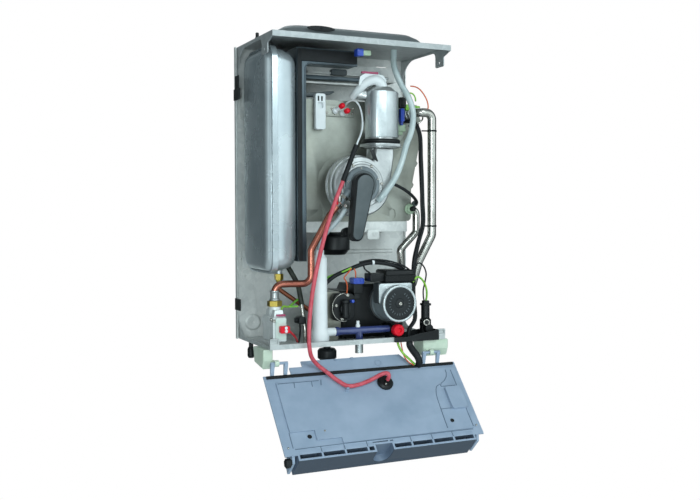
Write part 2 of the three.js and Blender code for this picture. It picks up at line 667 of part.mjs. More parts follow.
function vesselStrap(level) {
  const middle = vessel.seam - strap.shift;
  const x0 = middle - strap.width / 2;
  const x1 = middle + strap.width / 2;
  const tail = roundedRect(x0, x1, level - strap.tail, level, strap.width * strapShares.end);
  tail.holes.push(disc(middle, level - strap.tail + strap.width / 2, strap.hole));
  const reach = vesselBack + vesselForm.bandProud + seat;
  const foot = onBack - strap.thickness / 2;
  return union(
    frontPrism(tail, strap.thickness, onBack, 2),
    box(x0, x1, reach, foot, level - strap.width, level - strap.width + strap.thickness),
    box(x0, x1, reach, reach + strap.thickness, level - strap.width * 2, level),
  );
}

function vesselUnion() {
  const top = vesselForm.bottom - spigot.drop - seat;
  const hex = turnedUp([[0, -unionNut.height], [unionNut.radius, -unionNut.height], [unionNut.radius, 0], [0, 0]],
    spigot.x, spigot.y, top, 6);
  const under = -unionNut.height - unionNut.tailHeight;
  const tail = turnedUp([[0, under], [unionNut.coneRadius, under], [unionNut.tailRadius, overrun - unionNut.height],
    [0, overrun - unionNut.height]], spigot.x, spigot.y, top, smallSides);
  return union(hex, tail);
}

// Sheet frame of the sealed chamber, an upside-down L seen from the front

const chamberLeft = vesselRight + seat;
const chamberTop = topUnderside - chamber.headroom;

function chamberOutline(inset) {
  const left = chamberLeft + inset;
  const right = chamberLeft + chamber.bar - inset;
  const under = chamberTop - chamber.armHeight + inset;
  const outline = new THREE.Shape();
  outline.moveTo(left, chamber.bottom + inset);
  outline.lineTo(chamberLeft + chamberForm.footBar - inset, chamber.bottom + inset);
  outline.lineTo(right, chamber.bottom + chamberForm.footHeight);
  outline.lineTo(right, under - chamberForm.corner);
  outline.quadraticCurveTo(right, under, right + chamberForm.corner, under);
  outline.lineTo(chamberLeft + chamber.arm - inset, under);
  outline.lineTo(chamberLeft + chamber.arm - inset, chamberTop - inset);
  outline.lineTo(left, chamberTop - inset);
  outline.closePath();
  return outline;
}

function chamberFrame() {
  const gauge = chamberForm.gauge;
  const bar = cut(
    frontPrism(chamberOutline(0), chamber.depth, chamber.front + chamber.depth, 3),
    frontPrism(chamberOutline(gauge), chamber.depth - gauge + overrun, chamber.front + chamber.depth + overrun, 3),
  );
  const wall = box(chamberLeft, chamberLeft + gauge, chamber.front + chamber.depth - overrun, onBack,
    backFold.beadLevel + backFold.beadHeight, chamberTop);
  const roof = box(chamberLeft, chamberLeft + chamber.arm, chamber.front + chamber.depth - overrun, onBack,
    chamberTop - gauge, chamberTop);
  return union(bar, wall, roof);
}

function bracketRail() {
  const front = onBack - shelfRail.reach;
  const top = shelfRail.bottom + shelfRail.height;
  const middle = (shelfRail.left + shelfRail.right) / 2;
  const plate = box(shelfRail.left, shelfRail.right, front, front + sheet, shelfRail.bottom, top);
  const lip = box(shelfRail.left, shelfRail.right, front - topFold.lip, front + sheet, shelfRail.bottom,
    shelfRail.bottom + sheet);
  const arms = [shelfRail.left, shelfRail.right - sheet].map((x) => box(x, x + sheet, front, onBack,
    shelfRail.bottom, top));
  const tab = box(middle - shelfRail.tab, middle, front, front + sheet, top - sheet, top + shelfRail.tabHeight);
  return union(plate, lip, ...arms, tab);
}

// Heat exchanger, its cover plate and the cross bar that carries it

const exchangerBottom = crossbar.bottom + crossbar.height + crossbar.pad + seat;
const exchangerTop = exchangerBottom + exchanger.height;
const exchangerFront = onBack - exchanger.standOff - exchanger.depth;
const coverBack = exchangerFront - seat;
const coverFront = coverBack - coverPlate.thickness;
const coverLeft = exchanger.left - coverPlate.overLeft;
const coverRight = exchanger.right + coverPlate.overRight;
const coverNarrow = coverRight - coverWaist.inset;
const coverBottom = exchangerBottom - coverPlate.overBottom;
const coverTop = exchangerTop + coverPlate.overTop;
const portLevel = coverTop - port.belowTop;

function crossBar() {
  const { left, right, bottom, front } = crossbar;
  const top = bottom + crossbar.height;
  const plate = box(left, right, front, front + sheet, bottom, top);
  const arms = [left, right - sheet].map((x) => box(x, x + sheet, front, onBack, bottom, top));
  const shelf = box(left, right, front, onBack, top - sheet, top);
  const pads = [exchanger.left + crossbar.padDepth, exchanger.right - crossbar.padDepth * 2].map((x) => box(
    x, x + crossbar.padDepth, exchangerFront, onBack - exchanger.standOff, top - sheet / 2, top + crossbar.pad,
  ));
  return union(plate, ...arms, shelf, ...pads);
}

function exchangerBody() {
  const outline = polygon([[exchanger.left, exchangerBottom], [exchanger.right, exchangerBottom],
    [exchanger.right, exchangerTop], [exchanger.left, exchangerTop]]);
  const rear = onBack - exchanger.standOff;
  const body = frontPrism(outline, exchanger.depth, rear, 3, exchanger.bevel);
  const grooves = [];
  for (const share of grooveShares) {
    const y = rear - exchanger.depth * share;
    for (const x of [exchanger.left, exchanger.right]) {
      grooves.push(box(x - exchanger.bevel / 2, x + exchanger.bevel / 2, y - exchanger.bevel, y + exchanger.bevel,
        exchangerBottom + exchanger.foot * 2, exchangerTop - exchanger.foot * 2));
    }
  }
  const feet = [];
  for (const x of [exchanger.left + exchanger.foot * 2, exchanger.right - exchanger.foot * 2]) {
    for (const z of [exchangerBottom + exchanger.foot * 3, exchangerTop - exchanger.foot * 3]) {
      feet.push(rod([x, rear - overrun, z], [x, onBack, z], exchanger.foot, 12));
    }
  }
  return union(cut(body, ...grooves), ...feet);
}

// The right edge runs in from the full width to a narrower foot
function coverEdge(z) {
  const high = coverTop - coverWaist.slantDrop;
  const low = coverBottom + coverWaist.slantRise;
  return coverNarrow + coverWaist.inset * THREE.MathUtils.clamp((z - low) / (high - low), 0, 1);
}

function coverOutline() {
  const { corner } = coverPlate;
  const outline = new THREE.Shape();
  outline.moveTo(coverLeft, coverBottom + corner);
  outline.quadraticCurveTo(coverLeft, coverBottom, coverLeft + corner, coverBottom);
  outline.lineTo(coverNarrow - corner, coverBottom);
  outline.quadraticCurveTo(coverNarrow, coverBottom, coverNarrow, coverBottom + corner);
  outline.lineTo(coverNarrow, coverBottom + coverWaist.slantRise);
  outline.lineTo(coverRight, coverTop - coverWaist.slantDrop);
  outline.lineTo(coverRight, coverTop - corner);
  outline.quadraticCurveTo(coverRight, coverTop, coverRight - corner, coverTop);
  outline.lineTo(coverLeft + corner, coverTop);
  outline.quadraticCurveTo(coverLeft, coverTop, coverLeft, coverTop - corner);
  outline.closePath();
  return outline;
}

function exchangerCover() {
  const bandBottom = coverTop - coverForm.bandHeight;
  let plate = frontPrism(coverOutline(), coverPlate.thickness, coverBack, 3);
  const lobes = [];
  for (let z = coverBottom + coverForm.lobeRise; z < bandBottom; z += coverForm.lobePitch) {
    for (const x of [coverLeft + coverForm.lobe / 2, coverEdge(z) - coverForm.lobe / 2]) {
      lobes.push(frontPrism(disc(x, z, coverForm.lobe), coverPlate.thickness, coverBack, 3));
    }
  }
  const band = frontPrism(roundedRect(coverLeft, coverRight, bandBottom, coverTop, coverPlate.corner),
    coverPlate.thickness / 2, coverFront + overrun / 2, 3);
  const portTube = rod([port.x, coverFront + overrun, portLevel],
    [port.x, coverFront - port.length, portLevel], port.radius);
  plate = union(plate, ...lobes, band, portTube);
  const recess = frontPrism(disc(fan.x, fan.z, coverForm.recess), overrun * 2, coverFront + coverForm.recessDepth, 8);
  const slots = [coverLeft + coverSlot.inset, coverNarrow - coverSlot.inset].map((x) => frontPrism(
    roundedRect(x - coverSlot.width / 2, x + coverSlot.width / 2, coverBottom + coverSlot.rise,
      coverBottom + coverSlot.rise + coverSlot.height, coverSlot.width * coverSlotShares.end),
    overrun * 2, coverFront + coverForm.recessDepth, 2,
  ));
  return cut(plate, recess, ...slots);
}

function clampPlugBody() {
  const { x, bottom, width, height, depth, slot } = clampPlug;
  const body = frontPrism(roundedRect(x - width / 2, x + width / 2, bottom, bottom + height, slot),
    depth, coverFront - seat - coverPlate.thickness / 2, 3, sheet / 2);
  const foot = box(x - width / 4, x + width / 4, coverFront - seat - depth / 2, coverFront - seat,
    bottom + slot, bottom + height * plugShares.lowTop);
  const mouth = box(x - width / 4, x + width / 4, coverFront - depth * 2, coverFront - depth / 2,
    bottom + height * plugShares.highBottom, bottom + height * plugShares.highTop);
  return cut(union(body, foot), mouth);
}

// Fan: a spiral casting, open at its eye and its outlet, with a bladed wheel inside

const motorFront = coverFront - seat - motor.depth;
const fanBack = motorFront - seat;
const fanFront = fanBack - fan.depth;
const outletTop = fan.z + outlet.rise;

function voluteOutline(inset, topOverrun) {
  const start = THREE.MathUtils.degToRad(fanTurns.tongueAngle);
  const leave = THREE.MathUtils.degToRad(fanTurns.leaveAngle);
  const points = [];
  for (let step = 0; step <= fanTurns.steps; step += 1) {
    const share = step / fanTurns.steps;
    const angle = start + (leave - start) * share;
    const radius = fan.tongueRadius + fan.spiralGain * share ** fanTurns.power - inset;
    points.push([fan.x + radius * Math.cos(angle), fan.z + radius * Math.sin(angle)]);
  }
  points.push([fan.x + outlet.right - inset, fan.z + outlet.shoulder]);
  points.push([fan.x + outlet.right - inset, outletTop + topOverrun]);
  points.push([fan.x + outlet.left + inset, outletTop + topOverrun]);
  return polygon(points);
}

function fanVolute() {
  const { proud, rearWidth, start, width, bevel } = fanRidge;
  const casting = frontPrism(voluteOutline(proud, 0), fan.depth, fanBack, 3, fan.bevel);
  const rearRidge = frontPrism(voluteOutline(0, 0), rearWidth, fanBack, 3, bevel);
  const middleRidge = frontPrism(voluteOutline(0, 0), width, fanBack - start, 3, bevel);
  const hollow = frontPrism(voluteOutline(fan.wall + proud, overrun), fan.depth - 2 * fan.wall, fanBack - fan.wall, 3);
  const eye = rod([fan.x, fanFront - overrun, fan.z], [fan.x, fanFront + fan.wall + overrun, fan.z],
    outlet.inletRadius, drumSides);
  const shaftHole = rod([fan.x, fanBack - fan.wall - overrun, fan.z], [fan.x, fanBack + overrun, fan.z],
    outlet.shaftHole);
  return cut(union(casting, rearRidge, middleRidge), hollow, eye, shaftHole);
}

function fanImpeller() {
  const hubRear = fanBack + seat;
  const discRear = fanBack - fan.wall - rotor.clearance;
  const discFront = discRear - rotor.disc;
  const ringFront = fanFront + fan.wall + rotor.clearance;
  const back = frontPrism(disc(fan.x, fan.z, rotor.radius), rotor.disc, discRear, 12);
  const hub = rod([fan.x, hubRear - seat, fan.z], [fan.x, discFront - rotor.hub, fan.z], rotor.hub);
  const ringShape = disc(fan.x, fan.z, rotor.radius);
  ringShape.holes.push(disc(fan.x, fan.z, rotor.eye));
  const ring = frontPrism(ringShape, rotorForm.ring, ringFront + rotorForm.ring, 12);
  const blades = [];
  const sweep = THREE.MathUtils.degToRad(rotorForm.sweepAngle);
  for (let n = 0; n < rotor.blades; n += 1) {
    const side = (shift) => {
      const points = [];
      for (let step = 0; step <= rotorForm.bladeSteps; step += 1) {
        const share = step / rotorForm.bladeSteps;
        const radius = rotorForm.bladeFoot + (rotor.radius - rotor.blade - rotorForm.bladeFoot) * share;
        const angle = (2 * Math.PI * n) / rotor.blades + sweep * share * share + shift / radius;
        points.push([fan.x + radius * Math.cos(angle), fan.z + radius * Math.sin(angle)]);
      }
      return points;
    };
    const outline = polygon([...side(-rotor.blade / 2), ...side(rotor.blade / 2).reverse()]);
    blades.push(frontPrism(outline, discFront - ringFront + rotorForm.ring - rotor.disc / 2,
      discFront + rotor.disc / 2, 1));
  }
  return union(back, hub, ring, ...blades);
}

function fanMotor() {
  const steps = [[0, seat], [motor.noseRadius, seat], [motor.noseRadius, motor.noseDepth],
    [motor.radius, motor.noseDepth + motor.rib], [motor.radius, motor.depth - motor.rib * 2],
    [motor.radius - motor.rib, motor.depth], [0, motor.depth]];
  return turnedForward(steps.map(([radius, depth]) => [radius, depth]), fan.x, coverFront, fan.z);
}

function fanInletRing() {
  const start = seat;
  const end = seat + inletRing.depth;
  const ring = turnedForward([[inletRing.bore, start], [inletRing.radius, start], [inletRing.radius, end - sheet],
    [inletRing.radius - sheet, end], [inletRing.bore, end], [inletRing.bore, start]], fan.x, fanFront, fan.z);
  const run = new THREE.Vector3(gasArm.reachX - gasReach.endX, 0, gasArm.reachZ - gasReach.endZ).normalize();
  const from = [gasReach.endX + run.x * seat, gasArm.y, gasReach.endZ + run.z * seat];
  const reach = rod(from, [gasArm.reachX, gasArm.y, gasArm.reachZ], gasArm.radius, 12);
  const lug = frontPrism(disc(gasArm.reachX, gasArm.reachZ, gasArm.radius * lugShares.boss),
    inletRing.depth, fanFront - seat, 4);
  return union(ring, lug, reach);
}

function silencerBody() {
  const { topX, topZ, topRadius, footX, footZ, footRadius } = silencer;
  const lean = Math.atan2(topX - footX, topZ - footZ);
  const outline = new THREE.Shape();
  outline.absarc(topX, topZ, topRadius, -lean, Math.PI - lean, false);
  outline.absarc(footX, footZ, footRadius, Math.PI - lean, 2 * Math.PI - lean, false);
  outline.closePath();
  const back = fanFront - seat - inletRing.depth - seat;
  const bodyBack = back - silencerForm.neckDepth + overrun;
  const body = frontPrism(outline, silencerForm.depth, bodyBack - overrun, 6, silencerForm.bevel);
  const neck = rod([silencerForm.neckX, back, silencerForm.neckZ],
    [silencerForm.neckX, bodyBack - overrun * 2, silencerForm.neckZ], silencerForm.neckRadius, drumSides);
  return union(body, neck);
}

// Mixture pipe above the fan

const mixerBase = outletTop + seat;
const mixerX = fan.x + (outlet.left + outlet.right) / 2;
const mixerY = fanBack - fan.depth / 2;

function mixturePipe() {
  const x = mixerX;
  const { radius, flange, flangeHeight, height, dome } = mixer;
  const column = turnedUp([
    [0, 0],
    [flange, 0],
    [flange, flangeHeight],
    [radius, flangeHeight],
    [radius, height],
    [radius * domeShares.shoulder, height + dome * domeShares.crownRise],
    [radius * domeShares.crown, height + dome * domeShares.crestRise],
    [radius * domeShares.crest, height + dome],
    [0, height + dome],
  ], x, mixerY, mixerBase);
  const arm = rod([x, mixerY, mixerBase + mixerArm.level],
    [x - mixerArm.reach, mixerY + mixerArm.drop * 2, mixerBase + mixerArm.level + mixerArm.drop], mixerArm.radius);
  const rear = rod([x, mixerY, mixerBase + mixerArm.backLevel],
    [x, coverFront - seat, mixerBase + mixerArm.backLevel], mixer.backRadius, drumSides);
  return union(column, arm, rear);
}

function outletClamp() {
  const inner = mixer.radius + seat;
  const { wall, height } = clampRing;
  const edge = inner + wall * clampShares.edge;
  return turnedUp([[inner, 0], [edge, 0], [inner + wall, height * clampShares.low],
    [inner + wall, height * clampShares.high], [edge, height], [inner, height], [inner, 0]],
  mixerX, mixerY, mixerBase + mixer.flangeHeight + seat);
}

// Gas valve with its nut and pipe at the lower left

const valveX = (valve.left + valve.right) / 2;
const valveY = (valve.front + valve.back) / 2;
const valveTop = valve.bottom + valve.height + valveHead.height + valveHead.bossHeight;
const nutTop = valveTop + seat + gasNut.height;

function gasValve() {
  const shoulder = valve.bottom + valve.height;
  const body = risePrism(polygon([[valve.left, valve.front], [valve.right, valve.front], [valve.right, valve.back],
    [valve.left, valve.back]]), valve.height, valve.bottom, 2, valve.bevel);
  const ring = (inset, z) => [[valve.left + inset, valve.front + inset, z], [valve.right - inset, valve.front + inset, z],
    [valve.right - inset, valve.back - inset, z], [valve.left + inset, valve.back - inset, z]];
  const head = loft([ring(valve.bevel, shoulder - valve.bevel), ring(valveHead.inset * 2, shoulder + valveHead.height)]);
  const boss = turnedUp([[0, 0], [valveHead.bossRadius, 0], [valveHead.bossRadius, valveTop - shoulder],
    [0, valveTop - shoulder]], valveX, valveY, shoulder, smallSides);
  const foot = turnedUp([[0, onFloor], [valveHead.footRadius, onFloor],
    [valveHead.footRadius, valve.bottom + valve.bevel * 2], [0, valve.bottom + valve.bevel * 2]],
  valveX, valveY, 0, smallSides);
  const coil = turnedForward([[0, -overrun * 2], [valveSide.coilRadius, -overrun * 2],
    [valveSide.coilRadius, valveSide.coilReach * coilShares.shoulder],
    [valveSide.coilRadius * coilShares.shoulder, valveSide.coilReach],
    [0, valveSide.coilReach]], valveX, valve.back, valve.bottom + valveSide.coilLevel, smallSides);
  coil.translate(0, valveSide.coilReach, 0);
  return union(body, head, boss, foot, coil);
}

function gasNutRing() {
  const { radius, height, bore } = gasNut;
  const hex = turnedUp([[0, 0], [radius, 0], [radius, height], [0, height]], valveX, valveY, valveTop + seat, 6);
  const hole = turnedUp([[0, -overrun], [bore, -overrun], [bore, height + overrun], [0, height + overrun]],
    valveX, valveY, valveTop + seat, smallSides);
  return cut(hex, hole);
}

function gasPipeRun() {
  const { radius, bend, riseLevel, elbowX, elbowY, kneeLevel } = gasPipe;
  return pipe([
    [valveX, valveY, valveTop + seat],
    [valveX, valveY, riseLevel],
    [elbowX, elbowY + seat, riseLevel],
    [elbowX, elbowY, kneeLevel],
    [gasReach.crookX, gasArm.y, gasReach.crookZ],
    [gasReach.endX, gasArm.y, gasReach.endZ],
  ], radius, bend);
}

function fillPipeRun() {
  const { radius, bend, dropLevel, kneeX, kneeY, kneeZ, endZ } = fillPipe;
  const top = vesselForm.bottom - spigot.drop - seat - unionNut.height - unionNut.tailHeight - seat;
  return pipe([
    [spigot.x, spigot.y, top],
    [spigot.x, spigot.y, dropLevel],
    [kneeX, kneeY, kneeZ],
    [(kneeX + plates.left) / 2, kneeY, endZ],
    [plates.left - seat, kneeY, endZ],
  ], radius, bend, 10);
}

function ventTubeRun() {
  const { radius, topX, topY, topZ, bendX, bendY } = ventTube;
  return pipe([
    [topX, topY, topZ],
    [bendX, bendY, ventReach.bendZ],
    [ventReach.footX, ventReach.footY, onFloor + ventReach.bend],
    [ventReach.footX, ventReach.footY, onFloor],
  ], radius, ventReach.bend, 10);
}

// Condensate trap, sump and drain

function condensateTrap() {
  const { x, y, radius, footRadius, top, neck, footHeight } = trap;
  const height = top - onFloor;
  const column = turnedUp([
    [0, 0],
    [footRadius, 0],
    [footRadius, footHeight],
    [radius, footHeight * trapShares.collar],
    [radius * trapShares.shoulder, height - neck * 2],
    [neck, height - neck],
    [neck, height],
    [0, height],
  ], x, y, onFloor, 20);
  const outletEnd = x + trapSpigot.reach - seat;
  const nose = rod([x, drain.y, trapSpigot.level], [outletEnd, drain.y, trapSpigot.level], trapSpigot.radius);
  return union(column, nose);
}

function condensateSump() {
  const { x, y, radius, bottom, height, neck, shoulder } = sump;
  const neckTop = crossbar.bottom + crossbar.height - sheet - seat - bottom;
  return turnedUp([[0, 0], [radius * sumpShares.foot, 0], [radius, shoulder], [radius, height - shoulder / 2],
    [neck, height], [neck, neckTop], [0, neckTop]], x, y, bottom, 24);
}

function drainPipe() {
  const { radius, left, right, y, level, teeX, teeRadius, teeDrop } = drain;
  const run = rod([left, y, level], [right, y, level], radius);
  const bell = rod([left, y, level], [left + radius, y, level], radius + sheet);
  const tee = rod([teeX, y, level], [teeX, y, -teeDrop], teeRadius);
  const bore = rod([teeX, y, -teeDrop - overrun], [teeX, y, onFloor], teeRadius - sheet, 12);
  return cut(union(run, bell, tee), bore);
}

// Hydraulic group: plate exchanger, block, diverter, pump, relief valve and sensor

function plateExchanger() {
  const { left, right, front, back: rear, bottom, height, count, groove } = plates;
  const pitch = (rear - front) / count;
  const core = box(left + groove, right - groove, front + groove / 2, rear - groove / 2, bottom + groove, bottom + height);
  const leaves = [];
  for (let n = 0; n < count; n += 1) {
    const y = front + pitch * (n + plateShares.first);
    leaves.push(box(left, right, y, y + pitch / 2, bottom, bottom + height - groove));
  }
  const feet = [front + pitch, rear - pitch * 2].map((y) => box(left + groove, right - groove, y, y + pitch,
    onFloor, bottom + groove * 2));
  return union(core, ...leaves, ...feet);
}

function hydraulicBlock() {
  const { left, right, front, back: rear, bottom, height, bevel } = block;
  const outline = polygon([[left, bottom], [right, bottom], [right, bottom + height],
    [left + blockForm.shoulder, bottom + height], [left + blockForm.shoulder - bevel, bottom + blockForm.lowHeight],
    [left, bottom + blockForm.lowHeight]]);
  const body = frontPrism(outline, rear - front, rear, 2, bevel);
  const feet = [left + blockForm.foot, right - blockForm.foot * 2].map((x) => box(x, x + blockForm.foot,
    front + bevel * 2, rear - bevel * 2, onFloor, bottom + bevel));
  const towerX = left + blockForm.shoulder + blockForm.towerRadius + bevel / 2;
  const tower = turnedUp([[0, -bevel], [blockForm.towerRadius, -bevel], [blockForm.towerRadius, blockForm.towerRise],
    [0, blockForm.towerRise]], towerX, front + blockForm.towerRadius * 2, bottom + height, smallSides);
  return union(body, ...feet, tower, reliefValve());
}

function diverterActuator() {
  const { x, z, radius, depth, capRadius, capDepth, foot } = diverter;
  const start = block.front - plates.front + seat;
  const waist = radius * canShares.waistRadius;
  const can = turnedForward([[0, start], [radius, start], [radius, depth * canShares.step],
    [waist, depth * canShares.waist], [waist, depth * canShares.rim], [capRadius, depth * canShares.cap],
    [capRadius, depth + capDepth], [0, depth + capDepth]],
  x, block.front, z, 20);
  const flange = box(block.left + block.bevel, x + radius - sheet * 2, block.front - start - sheet, block.front - seat,
    z - foot / 2, z + foot / 2);
  return union(can, flange);
}

const pumpBack = block.front - seat;

function pumpBody() {
  const { x, z, radius, depth } = pump;
  const barrel = turnedForward([
    [0, 0],
    [pump.back, 0],
    [pump.back, pump.backDepth],
    [radius, pump.backDepth + sheet * 2],
    [radius, depth - seat],
    [0, depth - seat],
  ], x, pumpBack, z);
  const { left, right, front, back: rear } = pumpSaddle;
  const saddle = risePrism(polygon([[x - left, pumpBack - front], [x + right, pumpBack - front],
    [x + right, pumpBack - rear], [x - left, pumpBack - rear]]), terminal.bottom - seat - z, z, 2, terminal.bevel);
  return union(barrel, saddle);
}

function pumpFaceRing() {
  const start = pump.depth;
  const end = pump.depth + pumpFace.depth;
  return turnedForward([
    [0, start],
    [pump.faceRadius - sheet, start],
    [pump.faceRadius, start + sheet],
    [pump.faceRadius, end - sheet],
    [pump.faceRadius - sheet, end],
    [pumpFace.dial, end],
    [pumpFace.dial, end - pumpFace.dialDepth],
    [pumpFace.screw, end - pumpFace.dialDepth],
    [pumpFace.screw, end - pumpFace.dialDepth / 2],
    [0, end - pumpFace.dialDepth / 2],
  ], pump.x, pumpBack, pump.z);
}

function terminalBox() {
  const { left, right, front, back: rear, bottom, skirt, lid, bevel } = terminal;
  const plan = (inset) => polygon([[left + inset, front + inset], [right - inset, front + inset],
    [right - inset, rear - inset], [left + inset, rear - inset]]);
  return union(risePrism(plan(0), skirt, bottom, 2, bevel), risePrism(plan(bevel), lid - bevel, bottom + bevel, 2, bevel));
}

function reliefValve() {
  const { x, z, radius, collar, reach } = relief;
  const body = turnedForward([[0, -block.bevel], [collar, -block.bevel], [collar, reach * reliefShares.collar],
    [radius, reach * reliefShares.step],
    [radius, reach], [0, reach]], x, block.front, z, smallSides);
  const side = rod([x, drain.y, drain.level], [drain.right + seat, drain.y, drain.level],
    radius * reliefShares.spigot, 12);
  return union(body, side);
}

function reliefCap() {
  const { x, z, reach, capRadius, capDepth } = relief;
  const start = reach + seat;
  const end = start + capDepth;
  const floor = start + capDepth * capShares.dimple;
  const profile = turnedForward([[0, start], [capRadius, start], [capRadius, start + capDepth * capShares.side],
    [capRadius * capShares.edge, end], [0, end]], x, block.front, z, 18);
  const dimple = turnedForward([[0, floor], [capRadius * capShares.dimpleFoot, floor],
    [capRadius * capShares.dimpleMouth, end + overrun], [0, end + overrun]], x, block.front, z, 6);
  return cut(profile, dimple);
}

function flowSensor() {
  const { x, y, radius, height, nose, noseReach, noseLevel } = sensor;
  const neck = radius * sensorShares.neck;
  const stem = turnedUp([[0, 0], [radius, 0], [radius, height * sensorShares.low], [neck, height * sensorShares.high],
    [neck, height], [0, height]], x, y, tray.wall + seat, smallSides);
  const snout = rod([x, y, noseLevel + tray.wall], [x, y - noseReach - radius / 2, noseLevel + tray.wall], nose);
  return union(stem, snout);
}

function wiringTray() {
  const { left, right, front, back: rear, low, high, bend, wall } = tray;
  const side = polygon([[left, 0], [right, 0], [right, high], [left + bend * 2, (low + high) / 2], [left + bend, low],
    [left, low]]);
  const full = frontPrism(side, rear - front, rear, 2);
  const hollow = box(left + wall, right - wall, front + wall, rear - wall, wall, high + overrun);
  return cut(full, hollow);
}

// Water pipes on the right

function flowPipe() {
  const start = coverFront - port.length - seat;
  return pipe([
    [port.x, start, portLevel],
    [port.x, flow.y, portLevel],
    [flow.x, flow.y, portLevel],
    [flow.x, flow.y, flow.kneeLevel],
    [flow.toeX, flow.toeY, flow.toeZ],
    [flowEnd.x, flowEnd.y, flowEnd.z],
    [block.right + seat, flowEnd.y, flowEnd.z],
  ], flow.radius, flow.bend);
}

function returnPipe() {
  return pipe([
    [exchanger.right + seat, back.y, back.startZ],
    [back.x, back.y, back.startZ],
    [back.x, back.y, back.kneeZ],
    [back.toeX, back.y, back.toeZ],
    [backEnd.x, backEnd.y, backEnd.z],
    [block.right + seat, backEnd.y, backEnd.z],
  ], back.radius, back.bend);
}

// Hinge blocks under the chassis, each with an eye round the panel's pin

function hingeBlock(form, hookStart) {
  const { left, right, setback, depth, height, taper } = form;
  const front = setback - railDepth;
  const rear = front + depth;
  const top = -seat;
  const outline = polygon([[rear, top], [front, top], [front, top - height * blockShares.nose],
    [front + taper, top - height], [rear - taper, top - height * blockShares.heel]]);
  const body = sidePrism(outline, right - left, left, 2, sheet);
  const eyeRadius = hinge.pin + hinge.clearance + hinge.eyeWall;
  const arm = box(hookStart, hookStart + hook.width, hingeY, front + taper, hinge.z - hinge.pin, hinge.z + hinge.pin);
  const eye = rod([hookStart, hingeY, hinge.z], [hookStart + hook.width, hingeY, hinge.z], eyeRadius);
  const bore = rod([hookStart - overrun, hingeY, hinge.z], [hookStart + hook.width + overrun, hingeY, hinge.z],
    hinge.pin + hinge.clearance);
  return cut(union(body, arm, eye), bore);
}

function tapKnob({ x, y, radius, height, stem, drop }) {
  const top = -seat;
  return turnedUp([[0, -height - drop], [radius * tapShares.foot, -height - drop],
    [radius, -height * tapShares.low - drop], [radius, -height * tapShares.high - drop],
    [radius * tapShares.shoulder, -drop], [stem, -drop], [stem, 0], [0, 0]], x, y, top, 18);
}

// Control panel, drawn closed: its inner face looks into the chassis and its length runs up

const controlPanel = new THREE.Group();
controlPanel.position.set(0, hingeY, hinge.z);
controlPanel.rotation.x = openAngle;
chassis.add(controlPanel);

const innerFace = -panel.offset;
const outerFace = innerFace - panel.gauge;
const panelEnd = panel.start + panel.length;
const panelHalf = caseWidth / 2;
const cellsStart = panelEnd - cells.length + cells.beyond;

function hingeLoop(start, span) {
  const pin = rod([start, 0, 0], [start + span, 0, 0], hinge.pin, 12);
  const legEnd = panel.start + panel.gauge / 2;
  const leg = polygon([[-loops.gauge / 2, -hinge.pin], [loops.gauge / 2, hinge.pin], [innerFace, legEnd],
    [outerFace, legEnd]]);
  const legs = [start, start + span - loops.leg].map((x) => sidePrism(leg, loops.leg, x, 2));
  return union(pin, ...legs);
}

function panelShell() {
  const ledgeFoot = panel.start - ledge.reach;
  const plate = frontPrism(polygon([
    [-panelHalf, panel.start],
    [ledge.left, panel.start],
    [ledge.left, ledgeFoot + ledge.stepDrop],
    [ledge.left + ledge.step, ledgeFoot + ledge.stepDrop],
    [ledge.left + ledge.step, ledgeFoot],
    [ledge.right - ledge.chamfer, ledgeFoot],
    [ledge.right, panel.start],
    [panelHalf, panel.start],
    [panelHalf, panelEnd],
    [-panelHalf, panelEnd],
  ]), panel.gauge, innerFace, 2);
  const cellsEnd = cellsStart + cells.length;
  const cellBox = box(cells.left, cells.right, outerFace - panel.boxDepth, innerFace, cellsStart, cellsEnd);
  const pitch = (cells.right - cells.left - cells.wall) / cells.count;
  const hollows = [];
  for (let n = 0; n < cells.count; n += 1) {
    const x = cells.left + cells.wall + pitch * n;
    hollows.push(box(x, x + pitch - cells.wall, innerFace - cells.depth, innerFace + overrun,
      cellsStart + cells.wall, cellsEnd - cells.wall));
  }
  const scoop = (margin, top) => {
    const shape = new THREE.Shape();
    const middle = innerFace - notch.depth + notch.radius;
    shape.moveTo(notch.x - notch.radius - margin, top);
    shape.lineTo(notch.x - notch.radius - margin, middle);
    shape.absarc(notch.x, middle, notch.radius + margin, Math.PI, 2 * Math.PI, false);
    shape.lineTo(notch.x + notch.radius + margin, top);
    shape.closePath();
    return shape;
  };
  const thumbWall = risePrism(scoop(notch.wall, innerFace), notch.run + notch.wall - sheet / 2,
    cellsEnd - notch.run - notch.wall, 5);
  const thumb = risePrism(scoop(0, innerFace + overrun), notch.run + overrun, cellsEnd - notch.run, 5);
  const hingeLoops = [hingeLoop(loops.leftStart, loops.leftSpan), hingeLoop(loops.rightStart, loops.rightSpan)];
  return union(cut(union(cut(union(plate, cellBox), ...hollows), thumbWall), thumb), ...hingeLoops);
}

function panelCover() {
  const { left, right, start, gauge: thickness, lean, stepX, step } = innerCover;
  const end = cellsStart;
  const pocketTop = end - coverPocket.height;
  const inner = left + coverPocket.width;
  const second = inner + coverPocket.secondWidth;
  const base = innerFace + seat + thickness;
  const plate = frontPrism(polygon([
    [left, start],
    [left + stepX, start],
    [left + stepX + step, start - step / 2],
    [right, start - step / 2],
    [right - lean, end],
    [second, end],
    [second, end - coverPocket.secondHeight],
    [inner, end - coverPocket.secondHeight],
    [inner, pocketTop],
    [left, pocketTop],
  ]), thickness, base, 2);
  const raised = frontPrism(roundedRect(coverBox.left, coverBox.right, coverBox.start, coverBox.end, step / 2),
    coverBox.proud, base + coverBox.proud - overrun / 2, 2);
  return union(plate, raised);
}

